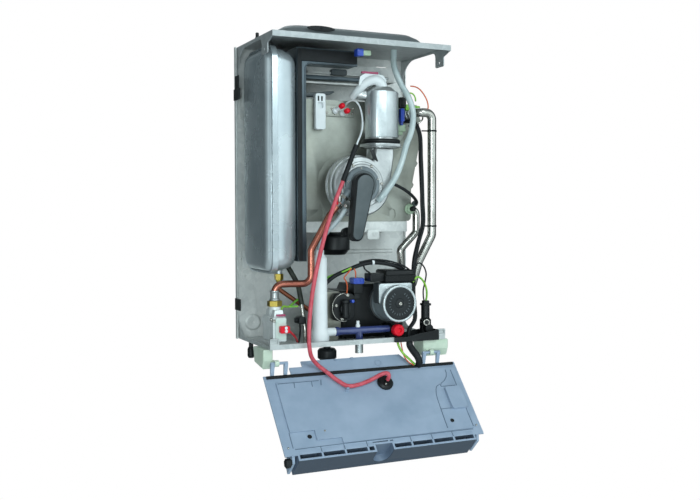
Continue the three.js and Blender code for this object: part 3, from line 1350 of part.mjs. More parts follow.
function fasciaShell() {
  const { margin, start, depth, bevel, window, windowDepth } = fascia;
  const end = cellsStart - seat;
  const body = frontPrism(roundedRect(-panelHalf + margin, panelHalf - margin, start, end, margin / 2),
    depth, outerFace - seat, 3, bevel);
  const frontPlane = outerFace - seat - depth;
  const display = frontPrism(roundedRect(-window / 2, window / 2, dialKnob.level, dialKnob.level + window / 2, bevel),
    windowDepth + overrun, frontPlane + windowDepth, 2);
  return cut(body, display);
}

function fasciaKnob(x) {
  const { level, radius, depth, taper, grip, gripRise } = dialKnob;
  const frontPlane = outerFace - seat - fascia.depth;
  const body = turnedForward([[0, seat], [radius, seat], [radius - taper, depth - sheet], [radius - taper - sheet, depth],
    [0, depth]], x, frontPlane, level, 20);
  const bar = box(x - grip / 2, x + grip / 2, frontPlane - depth - gripRise, frontPlane - depth + sheet,
    level - radius + taper * 2, level + radius - taper * 2);
  return union(body, bar);
}

function socketDisc() {
  const { x, level, radius, depth, stemShift, stemRadius, stemRise } = leadSocket;
  const base = innerFace + seat + innerCover.gauge + seat;
  const body = turnedForward([[0, 0], [radius, 0], [radius, depth * socketShares.skirt],
    [radius * socketShares.face, depth], [0, depth]],
    x, 0, level, 20).rotateZ(Math.PI);
  body.translate(2 * x, base, 0);
  const stem = rod([x + stemShift, base + depth / 2, level], [x + stemShift, base + depth + stemRise, level], stemRadius);
  return union(body, stem);
}

function panelLead() {
  return cord(panelLeadRoute.map(([x, along, height]) => [x, innerFace + height, along]), leadRadius, 10);
}

// The whole boiler

piece('back_panel', backPanel(), finishes.galvanised);
piece('top_plate', topPlate(), finishes.galvanised);
piece('bottom_rail', bottomRail(), finishes.galvanised);
piece('flue_hood', flueHood(), finishes.hoodGrey);
piece('vessel_outer_shell', vesselShell(vessel.seam - seat / 2, seat / 2 - vessel.outerDepth, vesselForm.outerInset),
  finishes.vesselGrey);
piece('vessel_inner_shell', vesselInner(), finishes.vesselGrey);
piece('vessel_strap_upper', vesselStrap(strap.upperLevel), finishes.galvanised);
piece('vessel_strap_lower', vesselStrap(strap.lowerLevel), finishes.galvanised);
piece('vessel_union', vesselUnion(), finishes.brass);
piece('chamber_frame', chamberFrame(), finishes.blackPlastic);
piece('bracket_rail', bracketRail(), finishes.galvanised);
piece('cross_bar', crossBar(), finishes.galvanised);
piece('exchanger_body', exchangerBody(), finishes.stainless);
piece('exchanger_cover', exchangerCover(), finishes.stainless);
piece('clamp_plug', clampPlugBody(), finishes.whitePlastic);
piece('fan_volute', fanVolute(), finishes.castAlloy);
piece('fan_impeller', fanImpeller(), finishes.darkGrey);
piece('fan_motor', fanMotor(), finishes.blackPlastic);
piece('fan_inlet_ring', fanInletRing(), finishes.castAlloy);
piece('silencer', silencerBody(), finishes.darkGrey);
piece('mixture_pipe', mixturePipe(), finishes.castAlloy);
piece('outlet_clamp', outletClamp(), finishes.blackPlastic);
piece('gas_valve', gasValve(), finishes.castAlloy);
piece('gas_nut', gasNutRing(), finishes.brass);
piece('gas_pipe', gasPipeRun(), finishes.copper);
piece('fill_pipe', fillPipeRun(), finishes.brownCopper);
piece('vent_tube', ventTubeRun(), finishes.chrome);
piece('condensate_trap', condensateTrap(), finishes.whitePlastic);
piece('condensate_sump', condensateSump(), finishes.blackPlastic);
piece('drain_pipe', drainPipe(), finishes.bluePlastic);
piece('plate_exchanger', plateExchanger(), finishes.stainless);
piece('hydraulic_block', hydraulicBlock(), finishes.blackPlastic);
piece('diverter_actuator', diverterActuator(), finishes.blackPlastic);
piece('pump_body', pumpBody(), finishes.darkGrey);
piece('pump_face', pumpFaceRing(), finishes.castAlloy);
piece('pump_terminal_box', terminalBox(), finishes.blackPlastic);
piece('relief_cap', reliefCap(), finishes.redPlastic);
piece('flow_sensor', flowSensor(), finishes.blackPlastic);
piece('wiring_tray', wiringTray(), finishes.blackPlastic);
piece('flow_pipe', flowPipe(), finishes.chrome);
piece('return_pipe', returnPipe(), finishes.chrome);
piece('igniter_wire', cord(wireRoute, wireRadius), finishes.whitePlastic);
piece('lead_sleeve', cord(sleeveRoute, sleeveRadius, 10), finishes.blackRubber);
piece('ignition_lead', cord([...leadRoute, ...fromHinge(leadDropRoute)], leadRadius, 10), finishes.redLead);
piece('lead_crossing', cord(fromHinge(crossingRoute), leadRadius, 10), finishes.redLead);
piece('wiring_loom', cord(loomRoute, loomRadius, 10), finishes.loomBlack);
piece('air_hose', cord(airHoseRoute, hoseRadius, 12), finishes.clearHose);
piece('trap_hose', cord(trapHoseRoute, trapHoseRadius, 10), finishes.greyHose);
piece('panel_loom', cord(fromHinge(panelLoomRoute), panelLoomRadius, 10), finishes.loomBlack);
piece('hinge_block_left', hingeBlock(leftBlock, hook.leftStart), finishes.paleGreen);
piece('hinge_block_right', hingeBlock(rightBlock, hook.rightStart), finishes.paleGreen);
piece('side_tap', tapKnob(sideTap), finishes.blackPlastic);
piece('main_tap', tapKnob(mainTap), finishes.blackPlastic);
piece('panel_shell', panelShell(), finishes.panelGrey, controlPanel);
piece('panel_fascia', fasciaShell(), finishes.fasciaGrey, controlPanel);
piece('panel_cover', panelCover(), finishes.panelGrey, controlPanel);
piece('lead_socket', socketDisc(), finishes.blackPlastic, controlPanel);
piece('panel_lead', panelLead(), finishes.redLead, controlPanel);
piece('heating_knob', fasciaKnob(-dialKnob.spread), finishes.blackPlastic, controlPanel);
piece('water_knob', fasciaKnob(dialKnob.spread), finishes.blackPlastic, controlPanel);

export default boiler;
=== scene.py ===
# A wall-hung condensing boiler, its case off and its control panel hinged down
import json
import math

import bmesh
import bpy
import numpy as np
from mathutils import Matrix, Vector

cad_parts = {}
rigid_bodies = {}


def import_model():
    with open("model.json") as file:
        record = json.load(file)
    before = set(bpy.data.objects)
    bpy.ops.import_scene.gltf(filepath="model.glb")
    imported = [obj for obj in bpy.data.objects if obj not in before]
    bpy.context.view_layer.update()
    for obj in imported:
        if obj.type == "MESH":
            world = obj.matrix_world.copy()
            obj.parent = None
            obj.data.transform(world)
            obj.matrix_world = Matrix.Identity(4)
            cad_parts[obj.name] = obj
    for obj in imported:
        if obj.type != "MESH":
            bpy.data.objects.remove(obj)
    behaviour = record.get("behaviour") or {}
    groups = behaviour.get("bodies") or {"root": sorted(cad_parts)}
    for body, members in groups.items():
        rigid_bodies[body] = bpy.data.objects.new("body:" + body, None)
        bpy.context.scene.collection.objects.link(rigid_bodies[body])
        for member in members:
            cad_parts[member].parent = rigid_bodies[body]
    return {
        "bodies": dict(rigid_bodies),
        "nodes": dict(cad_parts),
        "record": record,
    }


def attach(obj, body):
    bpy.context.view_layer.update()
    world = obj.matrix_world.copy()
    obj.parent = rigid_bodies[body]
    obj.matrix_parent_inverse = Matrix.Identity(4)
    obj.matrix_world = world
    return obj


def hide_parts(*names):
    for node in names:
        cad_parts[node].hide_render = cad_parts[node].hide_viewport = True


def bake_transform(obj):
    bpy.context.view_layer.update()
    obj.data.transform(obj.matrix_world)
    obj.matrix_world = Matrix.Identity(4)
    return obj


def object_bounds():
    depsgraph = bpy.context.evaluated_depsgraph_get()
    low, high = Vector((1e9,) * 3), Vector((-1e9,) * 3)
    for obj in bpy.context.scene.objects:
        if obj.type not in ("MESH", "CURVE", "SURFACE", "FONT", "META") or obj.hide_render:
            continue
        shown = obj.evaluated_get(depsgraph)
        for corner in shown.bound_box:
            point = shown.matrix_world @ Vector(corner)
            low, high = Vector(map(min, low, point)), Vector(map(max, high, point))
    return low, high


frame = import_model()
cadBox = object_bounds()
scene = bpy.context.scene
hangHeight = 610  # the row frame's origin stands this far above the chassis floor, in mm


# ---- numbers into places

def place(points):
    # millimetres above the chassis floor -> metres in the row frame
    return (np.asarray(points, float) - (0, 0, hangHeight)) / 1000


hingeLine = {"y": -231, "z": -26, "angle": math.radians(136.2), "innerFace": -20.7}


def panelPlace(points):
    # (x, height over the panel's inner face, run along the panel), in mm -> row frame, in m
    p = np.asarray(points, float)
    c, s = math.cos(hingeLine["angle"]), math.sin(hingeLine["angle"])
    out, along = p[..., 1] + hingeLine["innerFace"], p[..., 2]
    y, z = hingeLine["y"] + out * c - along * s, hingeLine["z"] + out * s + along * c
    return place(np.stack([p[..., 0], y, z], -1))


def tint(hexColour):
    # '#rrggbb' as written on a screen -> linear colour for a shader
    c = np.array([int(hexColour[i:i + 2], 16) for i in (1, 3, 5)]) / 255
    linear = np.where(c <= 0.04045, c / 12.92, ((c + 0.055) / 1.055) ** 2.4)
    return (*linear.tolist(), 1.0)


def camel(words):
    # 'gas_pipe' -> 'gasPipe'
    first, *rest = words.split("_")
    return first + "".join(word.capitalize() for word in rest)


# ---- camera, floor and light

view = {"place": (-0.8547, -2.1112, -0.3254), "turn": (87.78, 0, -26.61), "sensor": 36, "lens": 49.58,
        "shiftX": -0.0714}


def makeCamera():
    camera = bpy.data.objects.new("camera", bpy.data.cameras.new("camera"))
    scene.collection.objects.link(camera)
    camera.location = view["place"]
    camera.rotation_euler = [math.radians(a) for a in view["turn"]]
    camera.data.sensor_width = view["sensor"]
    camera.data.lens = view["lens"]
    camera.data.shift_x = view["shiftX"]
    scene.camera = camera


studio = {
    "floorDrop": 0.60,  # the boiler hangs on a wall, so the floor is well below it
    "floorReach": 6,
    "floorTone": (0.8, 0.8, 0.8),
    "floorRoughness": 0.9,
    "world": 0.34,
    "tone": (0.82, 0.965, 1.0),
    "aim": (0, -0.1, -0.3),  # every lamp turns to this place
    # name, place, size and watts of each lamp
    "lamps": [("key", (0.5, -2.7, 1.1), 1.3, 27), ("fill", (1.8, -1.7, 0.3), 1.6, 8),
              ("low", (-0.2, -2.4, -1.1), 1.2, 5), ("back", (0.4, 1.6, 0.9), 1.6, 10),
              ("front", (-1.3, -2.6, -0.35), 0.9, 22)],
    # boards that only reflections see: ends of the foot line, heights of foot and head, and the glow
    "boards": [((-3.2, 0.9), (-0.42, 0.9), -1.7, 0.9, 0.0), ((0.75, 0.9), (2.2, -0.6), -1.5, 0.7, 0.0),
               ((0.75, -2.5), (1.25, -2.2), -1.3, 1.2, 1.9), ((-1.9, -0.9), (-1.7, -1.3), -1.2, 1.2, 1.2),
               ((-1.7, -3.0), (0.7, -3.3), -0.9, 1.3, 0.85)],
    "boardTone": (0.03, 0.04, 0.045),
}


def softLamp(name, at, size, watts):
    lamp = bpy.data.lights.new(name, "AREA")
    lamp.shape = "DISK"
    lamp.size = size
    lamp.energy = watts
    lamp.color = studio["tone"]
    holder = bpy.data.objects.new(name, lamp)
    scene.collection.objects.link(holder)
    holder.location = at
    holder.rotation_euler = (Vector(studio["aim"]) - Vector(at)).to_track_quat("-Z", "Y").to_euler()


def showsWhite(shader, output):
    # camera and glass rays see plain white there; every other ray sees the real surface
    tree = shader.id_data
    path = tree.nodes.new("ShaderNodeLightPath")
    more = tree.nodes.new("ShaderNodeMath")
    more.operation = "MAXIMUM"
    tree.links.new(path.outputs["Is Transmission Ray"], more.inputs[0])
    tree.links.new(path.outputs["Is Camera Ray"], more.inputs[1])
    white = tree.nodes.new("ShaderNodeBackground" if output == "World Output" else "ShaderNodeEmission")
    white.inputs["Color"].default_value = (1, 1, 1, 1)
    mix = tree.nodes.new("ShaderNodeMixShader")
    for socket, source in zip(mix.inputs, (more, shader, white)):
        tree.links.new(source.outputs[0], socket)
    tree.links.new(mix.outputs[0], tree.nodes[output].inputs[0])


def stagePlane(name, corners, colour):
    # a flat board or floor, which isn't part of the object, and its shader
    mesh = bpy.data.meshes.new(name)
    mesh.from_pydata(corners, [], [(0, 1, 2, 3)])
    plane = bpy.data.objects.new(name, mesh)
    scene.collection.objects.link(plane)
    paint = bpy.data.materials.new(name)
    paint.use_nodes = True
    mesh.materials.append(paint)
    shader = paint.node_tree.nodes["Principled BSDF"]
    shader.inputs["Base Color"].default_value = (*colour, 1)
    return plane, shader


def makeStudio():
    world = bpy.data.worlds.new("studio")
    scene.world = world
    world.use_nodes = True
    sky = world.node_tree.nodes["Background"]
    sky.inputs["Color"].default_value = (*studio["tone"], 1)
    sky.inputs["Strength"].default_value = studio["world"]
    showsWhite(sky, "World Output")
    for lamp in studio["lamps"]:
        softLamp(*lamp)
    r, level = studio["floorReach"], cadBox[0][2] - studio["floorDrop"]
    corners = [(-r, -r, level), (r, -r, level), (r, r, level), (-r, r, level)]
    matt = stagePlane("floor", corners, studio["floorTone"])[1]
    matt.inputs["Roughness"].default_value = studio["floorRoughness"]
    showsWhite(matt, "Material Output")
    for start, end, foot, head, glow in studio["boards"]:
        corners = [(*start, foot), (*end, foot), (*end, head), (*start, head)]
        board, cloth = stagePlane("board", corners, studio["boardTone"])
        board.visible_camera = board.visible_diffuse = False
        board.visible_shadow = board.visible_transmission = False
        cloth.inputs["Emission Color"].default_value = (*studio["tone"], 1)
        cloth.inputs["Emission Strength"].default_value = glow
    scene.view_settings.view_transform = "Standard"


# ---- shader sums as Python expressions

class Wire:
    def __init__(self, finish, out):
        self.finish = finish
        self.out = out

    def sum(self, operation, other):
        return self.finish.add("ShaderNodeMath", {"operation": operation}, {0: self, 1: other})

    def __add__(self, other):
        return self.sum("ADD", other)

    __radd__ = __add__

    def __mul__(self, other):
        return self.sum("MULTIPLY", other)

    __rmul__ = __mul__


class Finish:
    def __init__(self, **values):
        self.material = bpy.data.materials.new("finish")  # makeFinishes gives the name
        self.material.use_nodes = True
        self.tree = self.material.node_tree
        self.shader = self.tree.nodes["Principled BSDF"]
        self.where = self.add("ShaderNodeTexCoord", output="Object")
        self.paint(**values)

    def add(self, kind, settings=None, inputs=None, output=0):
        node = self.tree.nodes.new(kind)
        for key, value in (settings or {}).items():
            setattr(node, key, value)
        for key, value in (inputs or {}).items():
            self.feed(node.inputs[key], value)
        return Wire(self, node.outputs[output])

    def feed(self, socket, value):
        if isinstance(value, Wire):
            self.tree.links.new(value.out, socket)
        else:
            socket.default_value = value

    def paint(self, **values):
        for key, value in values.items():
            self.feed(self.shader.inputs[key.replace("_", " ")], value)

    def noise(self, scale, detail=3.0, rough=0.55, stretch=None):
        vector = self.where
        if stretch:
            vector = self.add("ShaderNodeMapping", None, {"Vector": vector, "Scale": stretch})
        return self.add("ShaderNodeTexNoise", None, {
            "Vector": vector, "Scale": scale, "Detail": detail, "Roughness": rough}, "Fac")

    def grade(self, value, low, high, start=0.0, end=1.0):
        # value from start to end -> low to high, held outside
        return self.add("ShaderNodeMapRange", None, {
            "Value": value, "From Min": start, "From Max": end, "To Min": low, "To Max": high})

    def blend(self, factor, first, second):
        return self.add("ShaderNodeMix", {"data_type": "RGBA"}, {"Factor": factor, 6: first, 7: second}, 2)

    def tones(self, value, light, dark, start=0.3, end=0.7):
        # the dark colour up to start, the light one from end on
        return self.blend(self.grade(value, 0, 1, start, end), tint(dark), tint(light))

    def bump(self, height, distance):
        self.paint(Normal=self.add("ShaderNodeBump", None, {"Height": height, "Distance": distance}))


# ---- finishes: noise scales are in waves per metre, bump distances in metres

def galvanised(light="#e4e4e1", dark="#c3c5c3", roughness=0.36):
    # zinc-coated sheet: faint crystals, cloudy roughness, fine scratches
    f = Finish(Metallic=0.3)
    cells = f.add("ShaderNodeTexVoronoi", None, {"Vector": f.where, "Scale": 95}, "Color")
    crystal = f.add("ShaderNodeSeparateColor", None, {0: cells})
    cloud = f.noise(9, 4)
    scratch = f.noise(60, 2, stretch=(9, 1, 0.35))
    mix = f.grade(crystal, 0, 0.45) + f.grade(cloud, 0, 0.55, 0.3, 0.7)
    f.paint(Base_Color=f.blend(mix, tint(dark), tint(light)),
            Roughness=f.grade(cloud, roughness - 0.08, roughness + 0.1) + f.grade(scratch, -0.05, 0.05))
    f.bump(crystal * 0.4 + scratch, 0.00008)
    return f.material


def sprayed(light, dark, roughness, metallic, coat, peel=0.00006):
    # semi-gloss paint on pressed steel: slight orange peel and a cloudy tone
    f = Finish(Metallic=metallic, Coat_Weight=coat, Coat_Roughness=0.22)
    cloud = f.noise(7, 4)
    f.paint(Base_Color=f.tones(cloud, light, dark, 0.32, 0.68),
            Roughness=f.grade(cloud, roughness - 0.05, roughness + 0.08))
    f.bump(f.noise(900, 2), peel)
    return f.material


def satinSteel(light="#bdbcb0", dark="#8f8e84", roughness=0.38, warm="#a08f78"):
    # dull stainless: rolling lines along x, handling marks, warm heat tint in patches
    f = Finish(Metallic=0.85)
    lines = f.noise(420, 3, stretch=(0.05, 1, 1))
    cloud = f.noise(11, 5)
    heat = f.grade(f.noise(6, 2), 0, 0.35, 0.5, 0.75)
    f.paint(Base_Color=f.blend(heat, f.tones(cloud, light, dark), tint(warm)),
            Roughness=f.grade(lines, roughness - 0.1, roughness + 0.12) + f.grade(cloud, -0.05, 0.08))
    f.bump(lines, 0.00005)
    return f.material


def castMetal(light, dark, roughness, grain=520):
    # die-cast alloy: sandy skin with brighter rubbed places
    f = Finish(Metallic=0.8)
    sand = f.noise(grain, 3, 0.7)
    f.paint(Base_Color=f.tones(f.noise(16, 4), light, dark, 0.3, 0.72),
            Roughness=f.grade(sand, roughness - 0.06, roughness + 0.14, 0.3, 0.7))
    f.bump(sand, 0.00016)
    return f.material


def moulded(light, dark, roughness, grain=1400, depth=0.00005, haze=18.0, coat=0.0, ior=1.5):
    # moulded plastic: fine spark texture, faint flow marks and dust in the tone
    f = Finish(Coat_Weight=coat, IOR=ior)
    flow = f.noise(haze, 3)
    f.paint(Base_Color=f.tones(flow, light, dark),
            Roughness=f.grade(flow, roughness - 0.06, roughness + 0.08))
    f.bump(f.noise(grain, 2), depth)
    return f.material


# where each painted shade starts and is full, in m: below the inner face, and along the panel for the cells
# and their front
panelShade = {"below": (0.0012, 0.0008), "cells": (0.1935, 0.1945), "front": (0.2155, 0.2163)}


def panelPlastic(light, dark, paintedFrontShade, paintedCellShade):
    # moulded slate plastic with painted shade: darker in the cells and on their front face, where shade
    # falls; where the panel stands at rest, in m, the run along it is (0, -sin, cos) . (P - hinge) and the
    # height over it is (0, cos, sin) . (P - hinge)
    f = Finish()
    c, s = math.cos(hingeLine["angle"]), math.sin(hingeLine["angle"])
    hinge = tuple(place((0, hingeLine["y"], hingeLine["z"])))
    face = hingeLine["innerFace"] / 1000
    fromHinge = f.add("ShaderNodeVectorMath", {"operation": "SUBTRACT"}, {0: f.where, 1: hinge})
    along, out = (f.add("ShaderNodeVectorMath", {"operation": "DOT_PRODUCT"}, {0: fromHinge, 1: direction}, 1)
                  for direction in ((0, -s, c), (0, c, s)))
    # low is 1 below the inner face, where the painted shade goes
    low = f.grade(out, 1, 0, *(face - depth for depth in panelShade["below"]))
    flow = f.noise(16, 3)
    # inside is the painted shade in the cells, front the darker painted shade on the cells' front face
    inside = f.grade(along, 0, 0.75, *panelShade["cells"]) * low
    front = f.grade(along, 0, 0.9, *panelShade["front"]) * low
    base = f.blend(inside, f.tones(flow, light, dark), tint(paintedCellShade))
    f.paint(Base_Color=f.blend(front, base, tint(paintedFrontShade)), Roughness=f.grade(flow, 0.4, 0.54))
    f.bump(f.noise(1400, 2), 0.00005)
    return f.material


def rubber(light="#1b1e21", dark="#0c0e10", roughness=0.6):
    f = Finish(IOR=1.4)
    dust = f.noise(70, 4)
    f.paint(Base_Color=f.tones(dust, light, dark, 0.35, 0.75),
            Roughness=f.grade(dust, roughness - 0.05, roughness + 0.12))
    f.bump(f.noise(900, 2), 0.00007)
    return f.material


def barePipe(light, dark, stain, roughness):
    # drawn pipe: a cloudy film, finger stains in patches and a fine grain
    f = Finish(Metallic=0.95)
    film = f.noise(24, 5)
    patch = f.grade(f.noise(9, 3), 0, 0.4, 0.48, 0.7)
    f.paint(Base_Color=f.blend(patch, f.tones(film, light, dark), tint(stain)),
            Roughness=f.grade(film, roughness - 0.06, roughness + 0.16))
    f.bump(f.noise(300, 2), 0.00004)
    return f.material


def softHose(light, dark, alpha, roughness):
    # thick soft tube: milky, with a cloudy inside and a glossy skin
    f = Finish(Coat_Weight=0.35, Coat_Roughness=0.12, Alpha=alpha)
    milk = f.noise(30, 4)
    f.paint(Base_Color=f.tones(milk, light, dark), Roughness=f.grade(milk, roughness - 0.05, roughness + 0.1))
    f.bump(f.noise(110, 2), 0.00012)
    return f.material


def makeFinishes():
    table = {
        "galvanised_steel": galvanised(),
        "paleZinc": galvanised("#d2d4d3", "#b2b6b5", 0.4),
        "dullZinc": galvanised("#b9bcbc", "#9a9e9f", 0.4),
        "valveAlloy": galvanised("#e6e9e8", "#cfd4d3", 0.42),
        "vessel_paint": sprayed("#ccd3d6", "#aab4b9", 0.26, 0.65, 0.35, 0.00002),
        "hood_paint": sprayed("#6f7577", "#5c6264", 0.5, 0.1, 0.05),
        "chamberSteel": sprayed("#56636b", "#323b41", 0.3, 0.5, 0.3),
        "stainless": satinSteel(),
        "coverSteel": satinSteel("#a9aba3", "#82847c", 0.42, "#958c78"),
        "clampSteel": satinSteel("#c9cccc", "#9fa4a4", 0.3, "#a9a596"),
        "cast_alloy": castMetal("#d2d3d2", "#989b9c", 0.32),
        "silverRim": castMetal("#d5dadb", "#b3babc", 0.3, 700),
        "canSteel": moulded("#848d91", "#6b7478", 0.34, 700, 0.00003),
        "copper": barePipe("#bb7664", "#935244", "#5f3329", 0.2),
        "brown_copper": barePipe("#9a6048", "#7b4836", "#4c2c22", 0.3),
        "brass": barePipe("#dcc46a", "#bda246", "#8e7434", 0.26),
        "chromed_pipe": barePipe("#cfccc5", "#a3a099", "#746b5f", 0.13),
        "black_plastic": moulded("#16191b", "#0b0d0e", 0.42, ior=1.38),
        "dialFace": moulded("#1f2427", "#15191b", 0.4, ior=1.4),
        "dark_grey_plastic": moulded("#4c5255", "#3c4144", 0.5),
        "ridgedSlate": moulded("#565e61", "#41494c", 0.4),
        "plasticDisc": moulded("#7d868b", "#5f686d", 0.4),
        "white_plastic": moulded("#eef1f2", "#dde2e4", 0.4),
        "paleSwitch": moulded("#d9e6de", "#bfd0c6", 0.35),
        "red_plastic": moulded("#f0122c", "#d60a22", 0.34, ior=1.36),
        "magentaStrip": moulded("#b8476e", "#9c3a5c", 0.45),
        "orangeWire": moulded("#e8703a", "#c9502a", 0.4),
        "blue_plastic": moulded("#3f4c86", "#27315f", 0.22, coat=0.45),
        "blueConnector": moulded("#2b53c8", "#1c3a98", 0.3, coat=0.3),
        "pale_green_plastic": softHose("#dfe9d8", "#c4d6bf", 1.0, 0.45),
        "clearGreen": softHose("#c6dcc0", "#a3bf9a", 0.85, 0.25),
        "greenWire": moulded("#a3d445", "#5fae3a", 0.4, haze=60),
        "grey_hose": softHose("#b7c1c4", "#95a1a5", 1.0, 0.35),
        "clear_hose": softHose("#dbe6e6", "#b9c9ca", 0.82, 0.18),
        "black_rubber": rubber(),
        "hoseDark": rubber("#3c4038", "#23261f", 0.5),
        "red_silicone": rubber("#e26a76", "#c94957", 0.42),
        "redLead": rubber("#d8323c", "#b82230", 0.4),
        "panel_plastic": moulded("#a2b1c6", "#91a2b8", 0.46),
        # a darker slate for thin beads: painted shade, drawn where the panel's grooves show dark shadow lines
        "panelGroove": moulded("#68788c", "#586879", 0.5),
        # the last two colours are painted shade: the cells' front face, then the inside of the cells
        "panelSlate": panelPlastic("#a2b1c6", "#91a2b8", "#323e4e", "#54647a"),
        "fascia_plastic": moulded("#6f7d8d", "#616e7e", 0.4),
    }
    for name, material in table.items():
        material.name = camel(name) + "Finish"
    return table


# the record's slot of each finish that isn't a slot itself; a pair (slot, finish) says another one
slotOf = {
    "clampSteel": "cast_alloy", "coverSteel": "cast_alloy", "silverRim": "cast_alloy",
    "canSteel": "cast_alloy", "plasticDisc": "cast_alloy", "ridgedSlate": "dark_grey_plastic",
    "chamberSteel": "galvanised_steel", "dialFace": "black_plastic", "hoseDark": "black_rubber",
    "paleSwitch": "white_plastic", "blueConnector": "blue_plastic", "magentaStrip": "red_plastic",
    "orangeWire": "red_plastic", "redLead": "red_plastic", "clearGreen": "pale_green_plastic",
    "greenWire": "pale_green_plastic", "panelGroove": "panel_plastic",
}


# ---- surfaces

forward, upward = (0, -1, 0), (0, 0, 1)  # directions in the row frame; the boiler faces -y


def form(name, look, *parts, body="chassis", replaced=()):
    # grids of points (rows, columns, 3), in mm, as one piece: a quad between each four neighbours of a grid,
    # numbered row by row, then doubles merged and normals turned outward
    points, faces, start = [], [], 0
    for grid in parts:
        rows, columns = grid.shape[:2]
        i, j = np.meshgrid(np.arange(rows - 1), np.arange(columns - 1), indexing="ij")
        a = start + (i * columns + j).ravel()
        faces.append(np.stack([a, a + 1, a + columns + 1, a + columns], 1))
        points.append(grid.reshape(-1, 3))
        start += rows * columns
    toRow = panelPlace if body == "control_panel" else place
    mesh = bpy.data.meshes.new(name)
    mesh.from_pydata(toRow(np.vstack(points)).tolist(), [], np.vstack(faces).tolist())
    soup = bmesh.new()
    soup.from_mesh(mesh)
    bmesh.ops.remove_doubles(soup, verts=soup.verts, dist=2e-6)
    bmesh.ops.dissolve_degenerate(soup, edges=soup.edges, dist=1e-7)
    bmesh.ops.recalc_face_normals(soup, faces=soup.faces)
    soup.to_mesh(mesh)
    soup.free()
    return finishPiece(name, mesh, look, body, replaced, 38)


def onPanel(name, look, *parts):
    return form(name, look, *parts, body="control_panel")


def finishPiece(name, mesh, look, body, replaced, sharp):
    slot, finish = look if isinstance(look, tuple) else (slotOf.get(look, look), look)
    mesh.polygons.foreach_set("use_smooth", np.ones(len(mesh.polygons), bool))
    mesh.set_sharp_from_angle(angle=math.radians(sharp))
    mesh.materials.clear()
    mesh.materials.append(finishes[finish])
    piece = bpy.data.objects.new(name, mesh)
    scene.collection.objects.link(piece)
    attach(piece, body)
    if replaced:
        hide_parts(*replaced)
    return piece


def softened(profile, radius, steps=3):
    # each inner corner of an open polyline becomes a short curve: a quadratic from one side to the other
    p = np.asarray(profile, float)
    reach = np.linalg.norm(np.diff(p, axis=0), axis=1)
    cut = np.minimum(radius, 0.45 * np.minimum(reach[:-1], reach[1:]))[:, None]
    before = p[1:-1] + (p[:-2] - p[1:-1]) / reach[:-1, None] * cut
    after = p[1:-1] + (p[2:] - p[1:-1]) / reach[1:, None] * cut
    t = np.linspace(0, 1, steps + 1)[None, :, None]
    bend = (1 - t) ** 2 * before[:, None] + 2 * t * (1 - t) * p[1:-1, None] + t ** 2 * after[:, None]
    return np.vstack([p[:1], bend.reshape(-1, p.shape[1]), p[-1:]])


def axes(direction):
    # two unit directions square to a direction, and its own unit direction
    w = np.asarray(direction, float) / np.linalg.norm(direction)
    u = np.cross(w, [0, 0, 1.0] if abs(w[2]) < 0.9 else [0, 1.0, 0])
    u = u / np.linalg.norm(u)
    return u, np.cross(w, u), w


def turned(profile, centre, direction, sides, soft=0.8, wave=None):
    # radius r and height h of a profile, swung about an axis: centre + r cos(a) u + r sin(a) v + h w
    p = softened(profile, soft) if soft else np.asarray(profile, float)
    a = np.linspace(0, 2 * np.pi, sides + 1)
    u, v, w = axes(direction)
    r = p[:, 0][:, None] * (wave(a)[None, :] if wave else 1)
    circle = np.cos(a)[None, :, None] * u + np.sin(a)[None, :, None] * v
    return np.asarray(centre, float) + r[..., None] * circle + p[:, 1][:, None, None] * w


def plug(profile, centre, direction, sides, soft=0.8):
    # a turned form whose profile starts and ends on the axis
    return turned([(0, 0), *profile, (0, profile[-1][1])], centre, direction, sides, soft)


def catmull(points, spacing):
    # the centripetal curve through the points, as in the solids: each span from its four neighbours
    p = np.asarray(points, float)
    p = np.vstack([2 * p[0] - p[1], p, 2 * p[-1] - p[-2]])
    gaps = np.linalg.norm(np.diff(p, axis=0), axis=1) ** 0.5
    spans = []
    for i in range(1, len(p) - 2):
        d0, d1, d2 = gaps[i - 1], gaps[i], gaps[i + 1]
        t1 = (p[i] - p[i - 1]) / d0 - (p[i + 1] - p[i - 1]) / (d0 + d1) + (p[i + 1] - p[i]) / d1
        t2 = (p[i + 1] - p[i]) / d1 - (p[i + 2] - p[i]) / (d1 + d2) + (p[i + 2] - p[i + 1]) / d2
        t1, t2 = t1 * d1, t2 * d1
        count = max(3, int(np.linalg.norm(p[i + 1] - p[i]) / spacing))
        t = np.linspace(0, 1, count, endpoint=False)[:, None]
        spans.append((2 * t ** 3 - 3 * t ** 2 + 1) * p[i] + (t ** 3 - 2 * t ** 2 + t) * t1
                     + (3 * t ** 2 - 2 * t ** 3) * p[i + 1] + (t ** 3 - t ** 2) * t2)
    return np.vstack([*spans, p[-2:-1]])


def bentRun(points, bend, steps=9):
    # straight lengths joined by round bends of one radius, as a pipe bender leaves them
    p = np.asarray(points, float)
    rows = [p[:1]]
    for before, corner, after in zip(p[:-2], p[1:-1], p[2:]):
        a, b = corner - before, after - corner
        la, lb = np.linalg.norm(a), np.linalg.norm(b)
        a, b = a / la, b / lb
        turn = math.acos(np.clip(a @ b, -1, 1))
        r = min(bend, 0.48 * min(la, lb) / math.tan(turn / 2))
        inward = b - a * (a @ b)
        inward = inward / np.linalg.norm(inward)
        start = corner - a * r * math.tan(turn / 2)
        t = np.linspace(0, turn, steps)[:, None]
        rows.append(start + r * np.sin(t) * a + r * (1 - np.cos(t)) * inward)
    rows.append(p[-1:])
    return np.vstack(rows)


def runFrames(path):
    # two sideways directions carried along a path without twist
    along = np.gradient(path, axis=0)
    along = along / np.linalg.norm(along, axis=1)[:, None]
    side = np.zeros_like(along)
    side[0] = axes(along[0])[0]
    for i in range(1, len(path)):
        s = side[i - 1] - along[i] * (side[i - 1] @ along[i])
        side[i] = s / np.linalg.norm(s)
    return side, np.cross(along, side)


